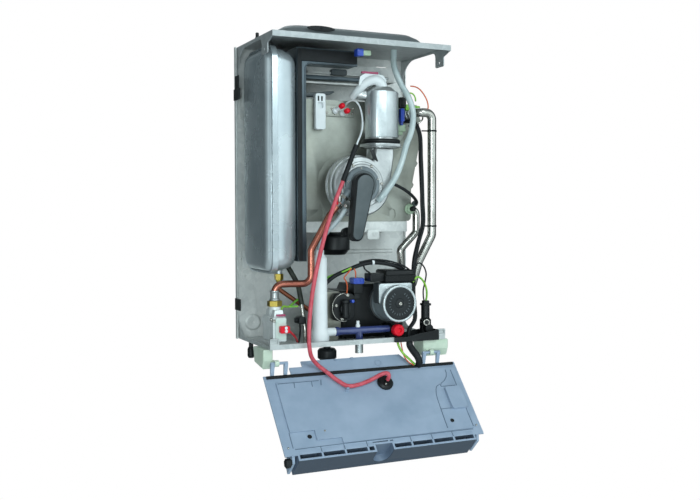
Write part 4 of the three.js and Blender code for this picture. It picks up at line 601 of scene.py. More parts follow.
def swept(path, radius, sides=20):
    # path + r cos(a) side + r sin(a) up, closed to a point at both ends; the radius may change along it
    path = np.asarray(path, float)
    side, up = runFrames(path)
    r = np.broadcast_to(np.asarray(radius, float), (len(path),))[:, None]
    a = np.linspace(0, 2 * np.pi, sides + 1)
    rows = (path[:, None] + (r * np.cos(a))[..., None] * side[:, None]
            + (r * np.sin(a))[..., None] * up[:, None])
    ends = [np.broadcast_to(p, rows[:1].shape) for p in (path[0], path[-1])]
    return np.concatenate([ends[0], rows, ends[1]])


def roundedRing(a0, a1, b0, b1, radius, steps):
    # the points of a rounded rectangle, closed on itself
    t = np.linspace(0, np.pi / 2, steps + 1)
    corners = [(a1 - radius, b0 + radius), (a1 - radius, b1 - radius), (a0 + radius, b1 - radius),
               (a0 + radius, b0 + radius)]
    rows = []
    for k, (a, b) in enumerate(corners):
        turn = t + np.pi / 2 * (k - 1)
        rows.append(np.stack([a + radius * np.cos(turn), b + radius * np.sin(turn)], 1))
    ring = np.vstack(rows)
    return np.vstack([ring, ring[:1]])


def slabPoints(outline, depth, edge, steps=3):
    # a flat outline (n, 2) given thickness: rings step in over the rounded edge, and close to the middle
    o = np.asarray(outline, float)
    if not np.allclose(o[0], o[-1]):
        o = np.vstack([o, o[:1]])
    ahead = np.roll(o[:-1], -1, 0) - np.roll(o[:-1], 1, 0)
    normal = np.stack([ahead[:, 1], -ahead[:, 0]], 1)
    normal = normal / np.maximum(np.linalg.norm(normal, axis=1), 1e-9)[:, None]
    normal = np.vstack([normal, normal[:1]])
    t = np.linspace(0, np.pi / 2, steps + 1)
    inset, height = edge * (1 - np.sin(t)), edge * (1 - np.cos(t))
    rings = [np.c_[o - normal * i, np.full(len(o), h)] for i, h in zip(inset, height)]
    rings += [np.c_[o - normal * i, np.full(len(o), depth - h)] for i, h in zip(inset[::-1], height[::-1])]
    middle = o[:-1].mean(0)
    ends = [np.c_[np.broadcast_to(middle, o.shape), np.full(len(o), h)] for h in (0.0, depth)]
    return np.stack([ends[0], *rings, ends[1]])


def toFront(outline, start, depth, edge):
    # an outline in x and z, drawn toward the front from the plane y = start
    p = slabPoints(outline, depth, edge)
    return np.stack([p[..., 0], start - p[..., 2], p[..., 1]], -1)


def block(x0, x1, z0, z1, corner, start, depth, edge=0.8, steps=5):
    # a rounded rectangle in x and z, drawn toward the front from y = start
    return toFront(roundedRing(x0, x1, z0, z1, corner, steps), start, depth, edge)


def riser(outline, z0, z1, edge):
    # an outline in x and y given height from z0 to z1
    return slabPoints(outline, z1 - z0, edge) + (0, 0, z0)


def panScrew(centre, radius, height, direction=forward):
    profile = [(0, -0.8), (radius, -0.8), (radius, height * 0.35), (radius * 0.72, height),
               (radius * 0.42, height), (radius * 0.36, height * 0.45), (0, height * 0.45)]
    return turned(profile, centre, direction, 20, 0.5)


def hexWave(a):
    # distance to the side of a hexagon, as a share of its corner radius: cos 30 / cos(a mod 60 - 30)
    return math.cos(np.pi / 6) / np.cos(np.mod(a, np.pi / 3) - np.pi / 6)


def hexNut(centre, direction, radius, height, bore=0.0):
    profile = [(bore, 0), (radius * 0.93, 0), (radius, height * 0.12), (radius, height * 0.88),
               (radius * 0.93, height), (bore, height)]
    return turned(profile, centre, direction, 48, 0.4, hexWave)


def cableTie(centre, direction, radius, width):
    profile = [(radius - 0.4, -width / 2), (radius + 0.9, -width / 2), (radius + 0.9, width / 2),
               (radius - 0.4, width / 2)]
    return turned(profile, centre, direction, 28, 0.4)


def arc(x, z, radius, count=40, start=0.0, end=360.0):
    # points of a circle in x and z
    a = np.radians(np.linspace(start, end, count + 1))
    return np.stack([x + radius * np.cos(a), z + radius * np.sin(a)], 1)


# ---- cords, hoses and wires; a cord named as a solid stands for it and runs along the same route

# finish, radius (or radius, pitch and depth of the ribs), sides, spacing of the curve's points, route in mm
cords = {
    "igniter_wire": ("white_plastic", 2, 14, 3, [
        (5, -122.9, 524), (7, -134, 530), (15, -146, 533), (22, -156, 524), (24, -170, 499), (18, -186, 471),
        (7, -200, 452), (-1.1, -207.8, 441), (-6, -208.6, 430)]),
    "lead_sleeve": ("black_rubber", (5.3, 9, 0.25), 20, 2, [
        (-6.3, -208.7, 429.4), (-10.9, -209.4, 419), (-35.1, -212.4, 362.9), (-40, -213.5, 352)]),
    "ignition_lead": ("red_silicone", 4.4, 20, 4, [
        (-40.3, -213.6, 351.4), (-44.9, -214.6, 341.1), (-62, -222, 307), (-85, -230, 249), (-105, -237, 188),
        (-119, -237.5, 123), (-127, -238, 60), (-128, -238, 34), (-128, -238, 22)]),
    "lead_crossing": ("red_silicone", 4.4, 20, 3, [
        (-128, -238, 21.6), (-128, -238, 10), (-122, -235, -16), (-103, -225.6, -37.6), (-94, -233.6, -46),
        (-90.4, -236.7, -49.4)]),
    "panel_loom": ("black_rubber", 7.6, 20, 3, [
        (116, -221.5, -0.4), (116, -221.5, -8), (120, -230, -20), (126.5, -238, -32), (131, -238.5, -43),
        (133, -231.2, -53)]),
    "air_hose": ("clear_hose", (6.8, 60, 0.15), 24, 4, [
        (114, -146, 651.6), (114, -146, 638), (113, -150, 615), (125, -160, 574), (138, -169, 547),
        (146, -179, 509), (137, -189, 468), (119, -198, 433), (104, -205, 395), (84, -209, 357),
        (65, -209, 332), (54, -206, 318), (50, -199.6, 311)]),
    "trap_hose": ("grey_hose", (5.5, 5, 0.45), 20, 1.2, [
        (-28, -196.6, 294), (-32, -203, 290), (-46, -204, 271), (-64, -197, 250), (-80, -188, 228),
        (-82, -184, 215), (-82, -184, 204.4)]),
    "panel_lead": ("red_silicone", 4.4, 20, 3, [
        (-89.7, 8.4, 21.3), (-71, 8.2, 45), (-52, 8.1, 61), (-25, 8.1, 60), (-6, 8.6, 55), (8, 13, 52),
        (20, 21, 50), (30, 27.5, 50), (37.5, 29.5, 53), (39, 24.5, 58.5), (39, 16, 59)]),
    "sideStub": ("black_rubber", 3.6, 20, 4, [
        (92, -153, 355), (111, -153, 349), (142, -151, 335), (163, -147, 321), (176, -140, 309),
        (178, -126, 305)]),
    "pumpLoom": ("black_rubber", 4.6, 14, 3, [
        (-86, -160, 92), (-78, -156, 108), (-62, -158, 126), (-40, -166, 146), (-8, -180, 162),
        (16, -186, 171), (39, -190, 175), (66, -192, 173), (92, -193, 167), (112, -190, 160),
        (118, -186, 154)]),
    "pumpLoomThin": ("black_rubber", 2.0, 14, 3, [
        (10, -186, 176), (39, -192, 181), (70, -196, 179), (97, -198, 172), (118, -199, 163),
        (131, -199, 154)]),
    "relayTail": ("black_rubber", 1.8, 14, 3, [
        (20, -185, 170), (24, -186, 160), (36, -184, 152), (40, -180, 149)]),
    "earthLeft": ("greenWire", 2.1, 14, 3, [
        (-84, -166, 118), (-70, -160, 130), (-50, -156, 144), (-34, -168, 151), (-20, -180, 158),
        (-8, -184, 164)]),
    "orangeLeft": ("orangeWire", 1.5, 14, 3, [
        (-8, -184, 163), (-18, -188, 153), (-27, -188, 143), (-22, -186, 136), (-16, -180, 124),
        (-14, -172, 106)]),
    "orangeRight": ("orangeWire", 1.5, 14, 3, [
        (-2, -184, 164), (1, -186, 154), (4, -180, 146), (8, -170, 139)]),
    "earthRight": ("greenWire", 2.2, 14, 3, [
        (134, -202, 130), (138, -205, 138), (146, -205, 141), (159, -203, 132), (170, -198, 114),
        (174, -193, 96), (173, -190, 84)]),
    "thinLoop": ("black_rubber", 1.7, 14, 3, [
        (134, -196, 154), (139, -202, 166), (149, -204, 172), (160, -203, 165), (167.5, -202, 148),
        (166, -199, 128), (164, -195, 110), (166, -192, 94), (169, -190, 84)]),
    "trayEarth": ("greenWire", 2.6, 12, 3, [
        (90, -214, -2), (92, -217, -11), (99, -222, -25), (111, -229, -38), (123, -232, -50)]),
    "trayRed": ("orangeWire", 1.3, 12, 3, [
        (98, -214, -2), (99, -218, -15), (101, -224, -32), (110, -230, -45), (122, -231, -52)]),
    "sideLead": ("orangeWire", 1.5, 12, 3, [
        (150, -158, 571), (160, -160, 570), (171, -160, 566), (181, -165, 553), (189, -168, 535),
        (190.5, -167, 521), (187, -160, 512), (180, -150, 508)]),
    "valveLead": ("redLead", 2.4, 14, 3, [
        (-172, -226, 41), (-163, -222, 36), (-152, -212, 27), (-141, -196, 18), (-134, -184, 10)]),
    "fillLead": ("black_rubber", 2.0, 12, 3, [
        (-116, -152, 44), (-119, -162, 32), (-125, -174, 18), (-130, -182, 8)]),
    "earthTail": ("greenWire", 2.2, 12, 3, [
        (-166, -168, 76), (-156, -160, 84), (-143, -152, 82), (-132, -146, 86), (-120, -140, 93),
        (-108, -136, 98)]),
    "portCatch": ("chromed_pipe", 1.7, 12, 3, [
        (186, -150, 506), (182, -156, 497), (172, -157, 489), (160, -152, 484), (152, -144, 482)]),
}
crossings = ("lead_crossing", "panel_loom", "trayEarth", "trayRed")  # these cross the panel's hinge, so they are left on no body

loom = {
    "strands": ((2.6, 3.3), (2.6, 3.2), (2.8, 2.9)),  # distance from the middle and radius of each
    "turns": 0.875,  # of the strands about each other, from end to end
    "spacing": 4,
    "sides": 14,
    "route": [(155, -121.4, 494), (155, -131, 494), (164, -152, 489), (171, -165, 462), (171, -170, 404),
              (173, -172, 313), (175, -172, 256), (163, -170, 211), (153, -171, 172), (143, -186, 100),
              (140, -200, 45), (126, -200, 24), (124, -200, 12), (124, -200, 2.4)],
}


def ribbed(path, radius, pitch, depth):
    # radius + depth * cos(2 pi s / pitch) along the run s
    s = np.r_[0, np.cumsum(np.linalg.norm(np.diff(path, axis=0), axis=1))]
    return radius + depth * np.cos(2 * np.pi * s / pitch)


def makeCords():
    for name, (look, radius, sides, spacing, route) in cords.items():
        path = catmull(route, spacing)
        if isinstance(radius, tuple):
            radius = ribbed(path, *radius)
        piece = form(camel(name), look, swept(path, radius, sides),
                     body="control_panel" if name == "panel_lead" else "chassis",
                     replaced=(name,) if name in frame["nodes"] else ())
        if name in crossings:
            piece.parent = None
            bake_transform(piece)


def makeLoom():
    # three strands about one curve: path + reach * fade * (cos(a) side + sin(a) up), a third of a turn apart
    path = catmull(loom["route"], loom["spacing"])
    side, up = runFrames(path)
    fade = np.sin(np.linspace(0, np.pi, len(path)))[:, None] ** 0.25
    strands = []
    for k, (reach, radius) in enumerate(loom["strands"]):
        a = 2 * np.pi * (np.linspace(0, loom["turns"], len(path))[:, None] + k / 3)
        strand = path + reach * fade * (np.cos(a) * side + np.sin(a) * up)
        strands.append(swept(strand, radius, loom["sides"]))
    form("wiringLoom", "black_rubber", *strands, replaced=("wiring_loom",))


# ---- pipes: finish, radius, bend radius and route in mm

pipes = {
    "gas_pipe": ("copper", 7.5, 18, [
        (-183.5, -181.5, 87.3), (-183.5, -181.5, 134), (-107, -196.7, 134), (-107, -197, 205),
        (-66, -203, 279.5), (-44, -203, 305)]),
    "fill_pipe": ("brown_copper", 5, 10, [
        (-152, -120, 133.4), (-152, -120, 118), (-105, -125, 84), (-83.5, -125, 70), (-62.3, -125, 70)]),
    "vent_tube": ("chromed_pipe", 4.5, 30, [
        (-131, -120, 166), (-111.5, -135.5, 125), (-105.4, -155, 32.3), (-105.4, -155, 2.3)]),
    "flow_pipe": ("chromed_pipe", 10, 16, [
        (168, -142.3, 512), (168, -165, 512), (201.8, -165, 512), (201.8, -165, 233), (178, -146, 172),
        (166, -133, 112), (140.3, -133, 112)]),
    "return_pipe": ("chromed_pipe", 8.5, 14, [
        (165.3, -106, 292), (192, -106, 292), (192, -106, 239), (150, -106, 198), (160, -100, 112),
        (140.3, -100, 112)]),
}


def makePipes():
    for node, (look, radius, bend, route) in pipes.items():
        form(camel(node), look, swept(bentRun(route, bend), radius, 28), replaced=(node,))


# ---- blocks and plugs that need no more than their numbers

# finish, then left, right, bottom, top, corner radius, back plane, depth and edge radius of each block
blocks = {
    "neckStrip": ("magentaStrip", (20, 60, 589, 593.5, 1.5, -174, 6, 0.6)),
    "pumpPlate": ("silverRim", (50.5, 131.5, 84, 128.6, 5, -200.2, 2.2, 0.9)),
    "terminalRibs": ("black_plastic", *((66, 134, z, z + 1.2, 0.5, -207.6, 1.0, 0.35)
                                        for z in np.arange(134, 147, 2.6))),
    "relayBox": ("black_plastic", (31, 64.5, 133, 151, 2.5, -166, 34, 1.2),
                 (35, 60, 137, 147, 1.5, -199, 2, 0.6)),
    "sensorBody": ("black_plastic", (3, 26, 106, 129, 3, -142, 30, 1.2), (7, 22, 92, 108, 3, -144, 22, 1.2)),
    "diverterPlate": ("black_plastic", (-45, 5, 47, 108, 13, -150.4, 23, 1.6)),
    "shelfBar": ("chamberSteel", (-94, 97, 583, 592, 2.5, -62, 26, 1.2, 4)),
    "shelfEdges": ("galvanised_steel", (-64, -8, 599, 603.5, 1, -62, 9, 0.7),
                   (31, 84, 598, 602, 1, -62, 9, 0.7), (-94, 66, 574, 579, 1, -62, 22, 0.9)),
    "shelfTab": (("galvanised_steel", "ridgedSlate"), (-8, 30, 597, 611, 4, -62, 14, 1.0)),
    "igniterPlate": ("coverSteel", (-46, 27, 498, 522, 2.5, -121.3, 3, 0.8)),
    "sidePlugs": ("black_plastic", (128, 145, 523, 546, 2.5, -128, 20, 1),
                  (131, 137, 528, 541, 1.5, -147.6, 2.4, 0.6), (124, 133, 500, 520, 2.5, -126, 14, 1)),
    "sideBlue": ("blueConnector", (131, 140, 491, 521, 2, -130, 20, 1),
                 (133, 138, 483, 492, 1.5, -134, 12, 0.8)),
    "sideGreen": ("clearGreen", (127, 149, 470, 486, 3, -123, 14, 1.2),
                  (131, 144, 462, 471, 3, -123, 10, 1.2)),
    "portClip": ("greenWire", (172, 187, 520, 530, 2, -124, 12, 0.8), (150, 162, 519, 532, 2, -124, 12, 0.8)),
    "frameConnector": ("blueConnector", (-6, 9, 620.5, 636, 2, -196, 18, 1.2),
                       (-3, 6, 624, 633, 1.5, -213, 2.4, 0.6)),
    "frameLatch": ("clearGreen", (9.5, 28, 623, 634, 2.5, -198, 13, 1.2)),
    "frameSeal": ("black_rubber", (-128.4, -118.6, 182, 633, 3, -175.2, 3.4, 1.2),
                  (-122, 9.5, 607, 633, 3, -175.2, 3.2, 1.2)),
    "clampPlugSlots": ("black_plastic", (-66, -62.4, 529, 540, 1, -134.6, 1.2, 0.3),
                       (-58, -54.4, 529, 540, 1, -134.6, 1.2, 0.3)),
    "valveWindow": ("paleSwitch", (-193, -169.5, 20, 66, 3, -213.2, 3, 1.2),
                    (-191, -173, 46, 58, 2, -216, 1.4, 0.5)),
    "valveConnector": ("red_plastic", (-186.5, -166, 34.5, 49.5, 3, -216, 12, 1.4)),
    "valveStripe": ("magentaStrip", (-190, -171, 69, 73, 1, -208, 6.4, 0.6)),
}
cap = [(4.8, 0), (6.2, 2), (6.2, 9), (5, 11.5), (3.4, 12.5)]
# finish, then profile (radius, height), centre of the foot, direction and number of sides of each plug
plugs = {
    "stubCollar": ("ridgedSlate", ([(7, 0), (7, 7), (5, 9), (5, 13)],
                                   (178, -122, 304), (0.05, -0.93, 0.36), 32)),
    "pressureNipple": ("red_plastic", ([(4.2, 0), (4.2, 10), (3, 12)],
                                       (-50, -207, 301), (-0.55, -0.35, 0.75), 20)),
    "diverterBarrel": ("black_plastic", (
        [(6, 0), (8.2, 2), (8.2, 8), (7.4, 9), (7.4, 33), (8.4, 34), (8.4, 39), (6, 42)],
        (-22, -184, 54), upward, 40)),
    "diverterPlug": ("blueConnector", ([(4, 0), (4, 12), (3, 13.5)], (-4, -172, 90), (0, -1, 0.05), 24)),
    "drainStub": ("white_plastic", ([(5, 0), (5, 5), (3.6, 6.5), (3.6, 14)], (5, -189, 34), upward, 24)),
    "sensorPort": ("black_plastic", ([(9.5, 0), (9.5, 14), (8, 16)], (170, -192, 38), (-0.25, -0.95, 0), 40)),
    "igniterSocket": ("white_plastic",
                      ([(7, 0), (7, 5), (4.6, 8), (4.6, 20)], (-22, -124, 509), (0.42, -0.8, 0.45), 28),
                      ([(7, 0), (7, 5), (5, 8), (5, 17)], (-3, -124, 505), (0.1, -0.9, 0.2), 28)),
    "igniterCaps": ("red_plastic", (cap, (-14.5, -139.5, 517.5), (0.3, -0.85, 0.35), 32),
                    (cap, (-1.4, -139, 508.5), (0.15, -0.95, 0.1), 32)),
    "roofPost": ("black_plastic", ([(5, 0), (5, 3), (3.6, 4), (3.6, 13), (2.4, 14)],
                                   (-198, -120, 654.6), upward, 24)),
    "wallProbe": ("clearGreen", ([(12.5, 0), (12.5, 4), (9, 7), (9, 12)], (166, -121.5, 293), forward, 40)),
    "probePlug": ("black_plastic", ([(6, 0), (6, 9), (4, 12)], (166, -133, 293), (0.25, -0.95, 0.1), 28)),
    "trapKnob": ("black_plastic", ([(9, 0), (10.5, 4), (10.5, 18), (8, 22)],
                                   (-21, -176, 240), (0, -1, 0.15), 32)),
}


def makeBlocksAndPlugs():
    for name, (look, *sizes) in blocks.items():
        form(name, look, *(block(*size) for size in sizes))
    for name, (look, *sizes) in plugs.items():
        form(name, look, *(plug(*size) for size in sizes))


# ---- fan, silencer and mixture pipe

fanMark = {"x": 13, "z": 345, "face": -194, "ringFront": -202, "rimScrews": 46.5, "discScrews": 36}


def makeFanDetails():
    x, z, face, front = fanMark["x"], fanMark["z"], fanMark["face"], fanMark["ringFront"]
    form("fanFaceRing", "cast_alloy", turned(
        [(40.8, -0.6), (51, -0.6), (51, 1.4), (49, 3), (45.5, 3), (44.5, 1.8), (40.8, 1.8)],
        (x, face, z), forward, 96))
    form("fanDiscStep", "ridgedSlate", turned(
        [(19, 0), (31, 0), (31, 1.6), (29, 2.4), (24, 2.4), (23, 1.2), (19, 1.2)],
        (x, front, z), forward, 72))
    r, s = fanMark["rimScrews"], fanMark["discScrews"]
    form("fanScrews", "chromed_pipe",
         *(panScrew((x + r * math.cos(a), face - 2.4, z + r * math.sin(a)), 3.6, 3)
           for a in np.radians((62, 118, 4, 176, 232))),
         *(panScrew((x + s * math.cos(a), front, z + s * math.sin(a)), 2.2, 1.6)
           for a in np.radians((98, 170, 20))))
    # dark web between the wheel's housing and the outlet
    web = [(39, 404), (50, 396), (52, 398), (41, 423), (33, 421)]
    form("fanWeb", "black_plastic", toFront(web, face + 0.4, 1.2, 0.4))
    form("gasFittings", "chromed_pipe", hexNut((-51, -203, 297), (0.653, 0, 0.757), 11, 9, 7.4),
         hexNut((-36, -203, 314.3), (0.653, 0, 0.757), 10, 7, 7),
         plug([(6, 0), (6, 9), (4.4, 11), (4.4, 18)], (-47, -209, 309), (-0.1, -0.2, 0.97), 24),
         plug([(4.8, 0), (4.8, 4), (3.4, 5), (3.4, 13)], (-27, -203, 296), (-0.55, -0.75, 0.25), 24))
    # stadium between two circles, the silencer's outline brought in: the slate face inside a black rim
    lean = math.degrees(math.atan2(18, 108))
    stadium = np.vstack([arc(2, 346, 19, 18, -lean, 180 - lean),
                         arc(-16, 238, 11, 14, 180 - lean, 360 - lean)])
    form("silencerFace", "ridgedSlate", toFront(stadium, -237.6, 1.8, 0.7))


mixerMark = {
    "facets": [(34.4, -166), (34.8, -189), (42, -203), (45, -204.5), (63, -209), (66, -209), (92, -203),
               (96, -200), (105.4, -187), (105.6, -166)],
    "flange": [(28, -150), (28, -190), (40, -208), (64, -213), (78, -213), (100, -207), (111, -190),
               (111, -150)],
    "bracket": [(26, 572), (40, 578), (60, 570), (78, 566), (80, 578), (72, 588), (30, 590), (16, 582),
                (12, 558)],
    "neck": [(70, -178, 548), (66, -182, 566), (52, -184, 575), (36, -180, 572), (22, -172, 560),
             (14, -160, 548), (12, -148, 540)],
    "neckRadii": ([0, 0.3, 0.7, 1], [13, 11, 9, 8]),  # shares of the run and the radius at each
}


def makeMixerDetails():
    form("mixerFacets", "silverRim", riser(mixerMark["facets"], 449.5, 551, 1.2))
    form("mixerFlange", "cast_alloy", riser(mixerMark["flange"], 429, 436.5, 1.0))
    neck = catmull(mixerMark["neck"], 3)
    radii = np.interp(np.linspace(0, 1, len(neck)), *mixerMark["neckRadii"])
    form("gooseNeck", "white_plastic", swept(neck, radii))
    form("neckBracket", "white_plastic", toFront(mixerMark["bracket"], -176, 3, 0.7))


# ---- pump, diverter and the parts beside them

pumpMark = {"x": 94, "z": 84, "dial": -216, "rim": -217.8, "can": -157, "marks": 24.5,
            "band": (41, -190, 175.2)}
diverterMark = {"x": -20, "z": 77, "wide": 29.5, "high": 31}


def makePumpDetails():
    x, z, dial = pumpMark["x"], pumpMark["z"], pumpMark["dial"]
    form("pumpDial", "dialFace", turned(
        [(0, -0.5), (35.6, -0.5), (35.6, 0.4), (34, 1.1), (12, 1.4), (11, 0.6), (9.6, 0.6), (9, 1.6),
         (0, 2.2)], (x, dial, z), forward, 96))
    form("pumpRim", "silverRim", turned(
        [(35.8, -1.6), (40.9, -1.6), (41.4, -0.6), (40.6, 0.7), (38.4, 1.2), (36.4, 0.7), (35.8, -0.4)],
        (x, pumpMark["rim"], z), forward, 96))
    form("canRing", "cast_alloy", turned(
        [(39.3, 0), (44.2, 0), (44.2, 2.2), (42.6, 4.6), (39.3, 5.4)], (x, -155.2, z), forward, 80))
    form("pumpCan", "canSteel", turned(
        [(41.9, 0), (43.2, 0.8), (43.2, 8), (41.4, 11), (41.0, 56), (39.6, 57)],
        (x, pumpMark["can"], z), forward, 96))
    # short bars round the dial, each fourth one longer: a block turned about the dial's axis
    marks = []
    for turn in range(0, 360, 15):
        if 60 < turn < 120:
            continue
        c, s, r = math.cos(math.radians(turn)), math.sin(math.radians(turn)), pumpMark["marks"]
        bar = block(-2.2 if turn % 45 else -3.4, 2.2, -0.5, 0.5, 0.4, 0, 0.5, 0.15, 2)
        marks.append(np.stack([x + r * c + bar[..., 0] * c - bar[..., 2] * s, bar[..., 1] + dial - 0.9,
                               z + r * s + bar[..., 0] * s + bar[..., 2] * c], -1))
    form("dialMarks", "plasticDisc", *marks)
    form("dialScrew", "chromed_pipe", panScrew((x + 1, dial - 2, z), 4.6, 2.2))
    button = [(0, 0), (4.2, 0), (4.2, 1.6), (2.6, 2.2), (0, 1.4)]
    form("blueSocket", "blueConnector", block(1.5, 27, 127.5, 140.5, 3, -150, 26, 1.2),
         turned(button, (8, -175.8, 134.5), forward, 24), turned(button, (20, -175.8, 135), forward, 24))
    form("diverterScrews", "chromed_pipe", panScrew((-13, -173, 104), 4.6, 3.4),
         panScrew((-39.5, -173, 82), 4.2, 3.2), panScrew((-26, -173, 52), 4.6, 3.2))
    a, d = np.radians(np.linspace(96, 262, 30)), diverterMark
    clip = np.c_[d["x"] + d["wide"] * np.cos(a), np.full(30, -175.6), d["z"] + d["high"] * np.sin(a)]
    clip = np.vstack([[(-14, -174, 104)], clip, [(-16, -174, 47)]])
    form("diverterClip", "chromed_pipe", swept(clip, 0.9, 10))
    form("sensorPortRing", "chromed_pipe", turned(
        [(4.6, 0), (7.6, 0), (7.6, 1.4), (6.8, 2), (5.2, 2), (4.6, 1)],
        (166, -207, 38), (-0.25, -0.95, 0), 40))
    form("sensorPlug", "black_plastic",
         riser([(163, -181), (163, -199), (182, -199), (182, -181)], 74.6, 80, 1.2),
         riser([(166, -184), (166, -196), (179, -196), (179, -184)], 79, 86, 1.0))
    form("loomBand", "white_plastic", cableTie(pumpMark["band"], (1, -0.08, 0.1), 5.2, 5))


# ---- control panel: seal, beads painted dark as groove shade, screws

panelMarks = {
    "seal": (-220, 220, 17.5, 24.5),
    "floor": 0.2,  # heights over the inner face: of the bare panel and of its raised cover
    "cover": 3.1,
    "cells": {"left": -195.2, "width": 46, "pitch": 49.625, "run": (193.6, 204), "notch": (-35, 11)},
    "ribs": {"first": -197, "run": (192, 203.4), "cells": (1, 2, 3, 5, 6, 7)},
    "floorBeads": [[(-204, 154), (-204.3, 189)], [(-201, 191.4), (-97, 190.6)], [(-97, 190.6), (203, 191.6)]],
    "coverBeads": [
        [(206, 39), (205.4, 186)], [(-200, 38.6), (-110, 38.6)], [(-164.6, 39), (-166, 52)],
        [(-126, 39), (-127.4, 52)], [(-104.4, 37.5), (-107.4, 50)],
        [(193.6, 38), (192.8, 46), (189, 56), (180, 66), (170, 72), (167, 77), (166.6, 80), (202, 80.4)],
        [(145, 136.4), (202, 136.6)],
        [(166, 74), (157, 78), (152, 86), (148, 98), (146, 112), (144.6, 140), (143, 184)]],
    # x, run along the panel and height
    "recesses": [(-163.9, 166.7, 0.3), (160.6, 167.1, 3.1)],
    "rivets": [(-129.8, 158.6, 3.1), (-214, 187, 0.3), (213.2, 184.5, 3.1)],
    # (run along the panel, height) of the side arms that carry the row of cells, and the left side of each
    "arm": [(190, -0.8), (190, -30), (203, -47), (216.5, -49), (217, -9), (207, -0.8)],
    "arms": (-211, 206),
    "bumper": (-224.6, -10, 214),
}


def panelSlab(x0, x1, along0, along1, corner, height, depth, edge=0.5):
    # a rounded rectangle on the panel, raised from a height over its inner face
    p = slabPoints(roundedRing(x0, x1, along0, along1, corner, 4), depth, edge)
    return np.stack([p[..., 0], height + p[..., 2], p[..., 1]], -1)


def makePanelDetails():
    m, outward, across = panelMarks, (0, 1, 0), (1, 0, 0)
    onPanel("panelSeal", "black_rubber", panelSlab(*m["seal"], 1.2, m["floor"], 3.2, 1.0))
    cells, ribs = m["cells"], m["ribs"]
    places = [ribs["first"] + cells["pitch"] * n for n in ribs["cells"]]
    beads = [(m[level], route) for level in ("floor", "cover") for route in m[level + "Beads"]]
    beads += [(m["floor"], [(x, a) for a in ribs["run"]]) for x in places]
    # the beads are painted shade: dark lines for the shadow in the panel's grooves
    onPanel("panelBeads", "panelGroove", *(
        swept(bentRun([(x, height - 0.1, a) for x, a in route], 2.5, 4), 0.8, 10) for height, route in beads))
    onPanel("panelScrewWells", "black_rubber", *(
        plug([(4.6, 0), (4.6, 0.5), (3.4, 0.9), (2.6, 0.3)], (x, h, a), outward, 28, 0.2)
        for x, a, h in m["recesses"]))
    onPanel("panelRivets", "chromed_pipe", *(
        turned([(0, 0), (2.2, 0), (2.0, 0.8), (0.9, 1.3), (0, 1.4)], (x, h, a), outward, 20, 0.3)
        for x, a, h in m["rivets"]))
    onPanel("socketScrew", "chromed_pipe",
            plug([(2.4, 0), (2.4, 3.5), (1.6, 4.4)], (34, 9.5, 66), (0, 1, 0.2), 20, 0.4))
    onPanel("panelBumper", "black_rubber", hexNut(m["bumper"], across, 9.5, 11),
            turned([(0, 10), (5, 10), (5, 13.5), (0, 13.5)], m["bumper"], across, 24))
    onPanel("leadClip", "panel_plastic", panelSlab(-57.5, -51, 66.6, 69.4, 1.0, m["cover"], 9, 0.6),
            panelSlab(-59, -49.5, 66.2, 72, 1.0, m["cover"], 1.6, 0.5))
    arm = slabPoints(m["arm"], 6, 1.0)
    onPanel("cellArms", "panel_plastic", *(
        np.stack([start + arm[..., 2], arm[..., 1], arm[..., 0]], -1) for start in m["arms"]))
    # light ledges in the upper half of each cell, left out where the thumb notch is; their tops stand above
    # the painted shade of the cells
    ledges = []
    for n in range(8):
        left = cells["left"] + cells["pitch"] * n
        right = left + cells["width"]
        x0, x1 = {3: (left, cells["notch"][0]), 4: (cells["notch"][1], right)}.get(n, (left, right))
        ledges.append(panelSlab(x0, x1, *cells["run"], 0.6, -1.9, 1.8))
    onPanel("cellLedges", "panel_plastic", *ledges)
    onPanel("lugMarks", "panel_plastic",
            turned([(6.2, 0), (8, 0), (8, 0.8), (7.1, 1.2), (6.2, 0.8)], (39.9, 0.2, 4), outward, 32, 0.3),
            panelSlab(-22, -15, -15, -11, 1.5, m["floor"], 2.2),
            panelSlab(-60, -53, -14, -10, 1.5, m["floor"], 2.2))


# ---- top of the chamber and the heat exchanger

chamberMark = {
    "port": (168, 512),
    "lip": [(-92, 549), (-92, 541), (-72, 541.5), (-40, 544), (-22, 549), (-12, 554), (-14, 557), (-30, 555),
            (-60, 551)],
    "igniterScrews": [(-40, 505), (-28, 515), (-20, 504), (20, 506), (22, 517)],
    "edge": [(-110.2, -175.6, 262), (-110.2, -175.6, 603.4), (10, -175.6, 603.4)],
    "clampLevels": (471, 254),
    "coil": {"centre": (157.5, -148, 543), "reach": (11, 3, 14), "turn": (-0.3, 1.6 * math.pi)},
    "rose": {"x": -94, "z": 668, "wide": 31, "high": 5.5},
}


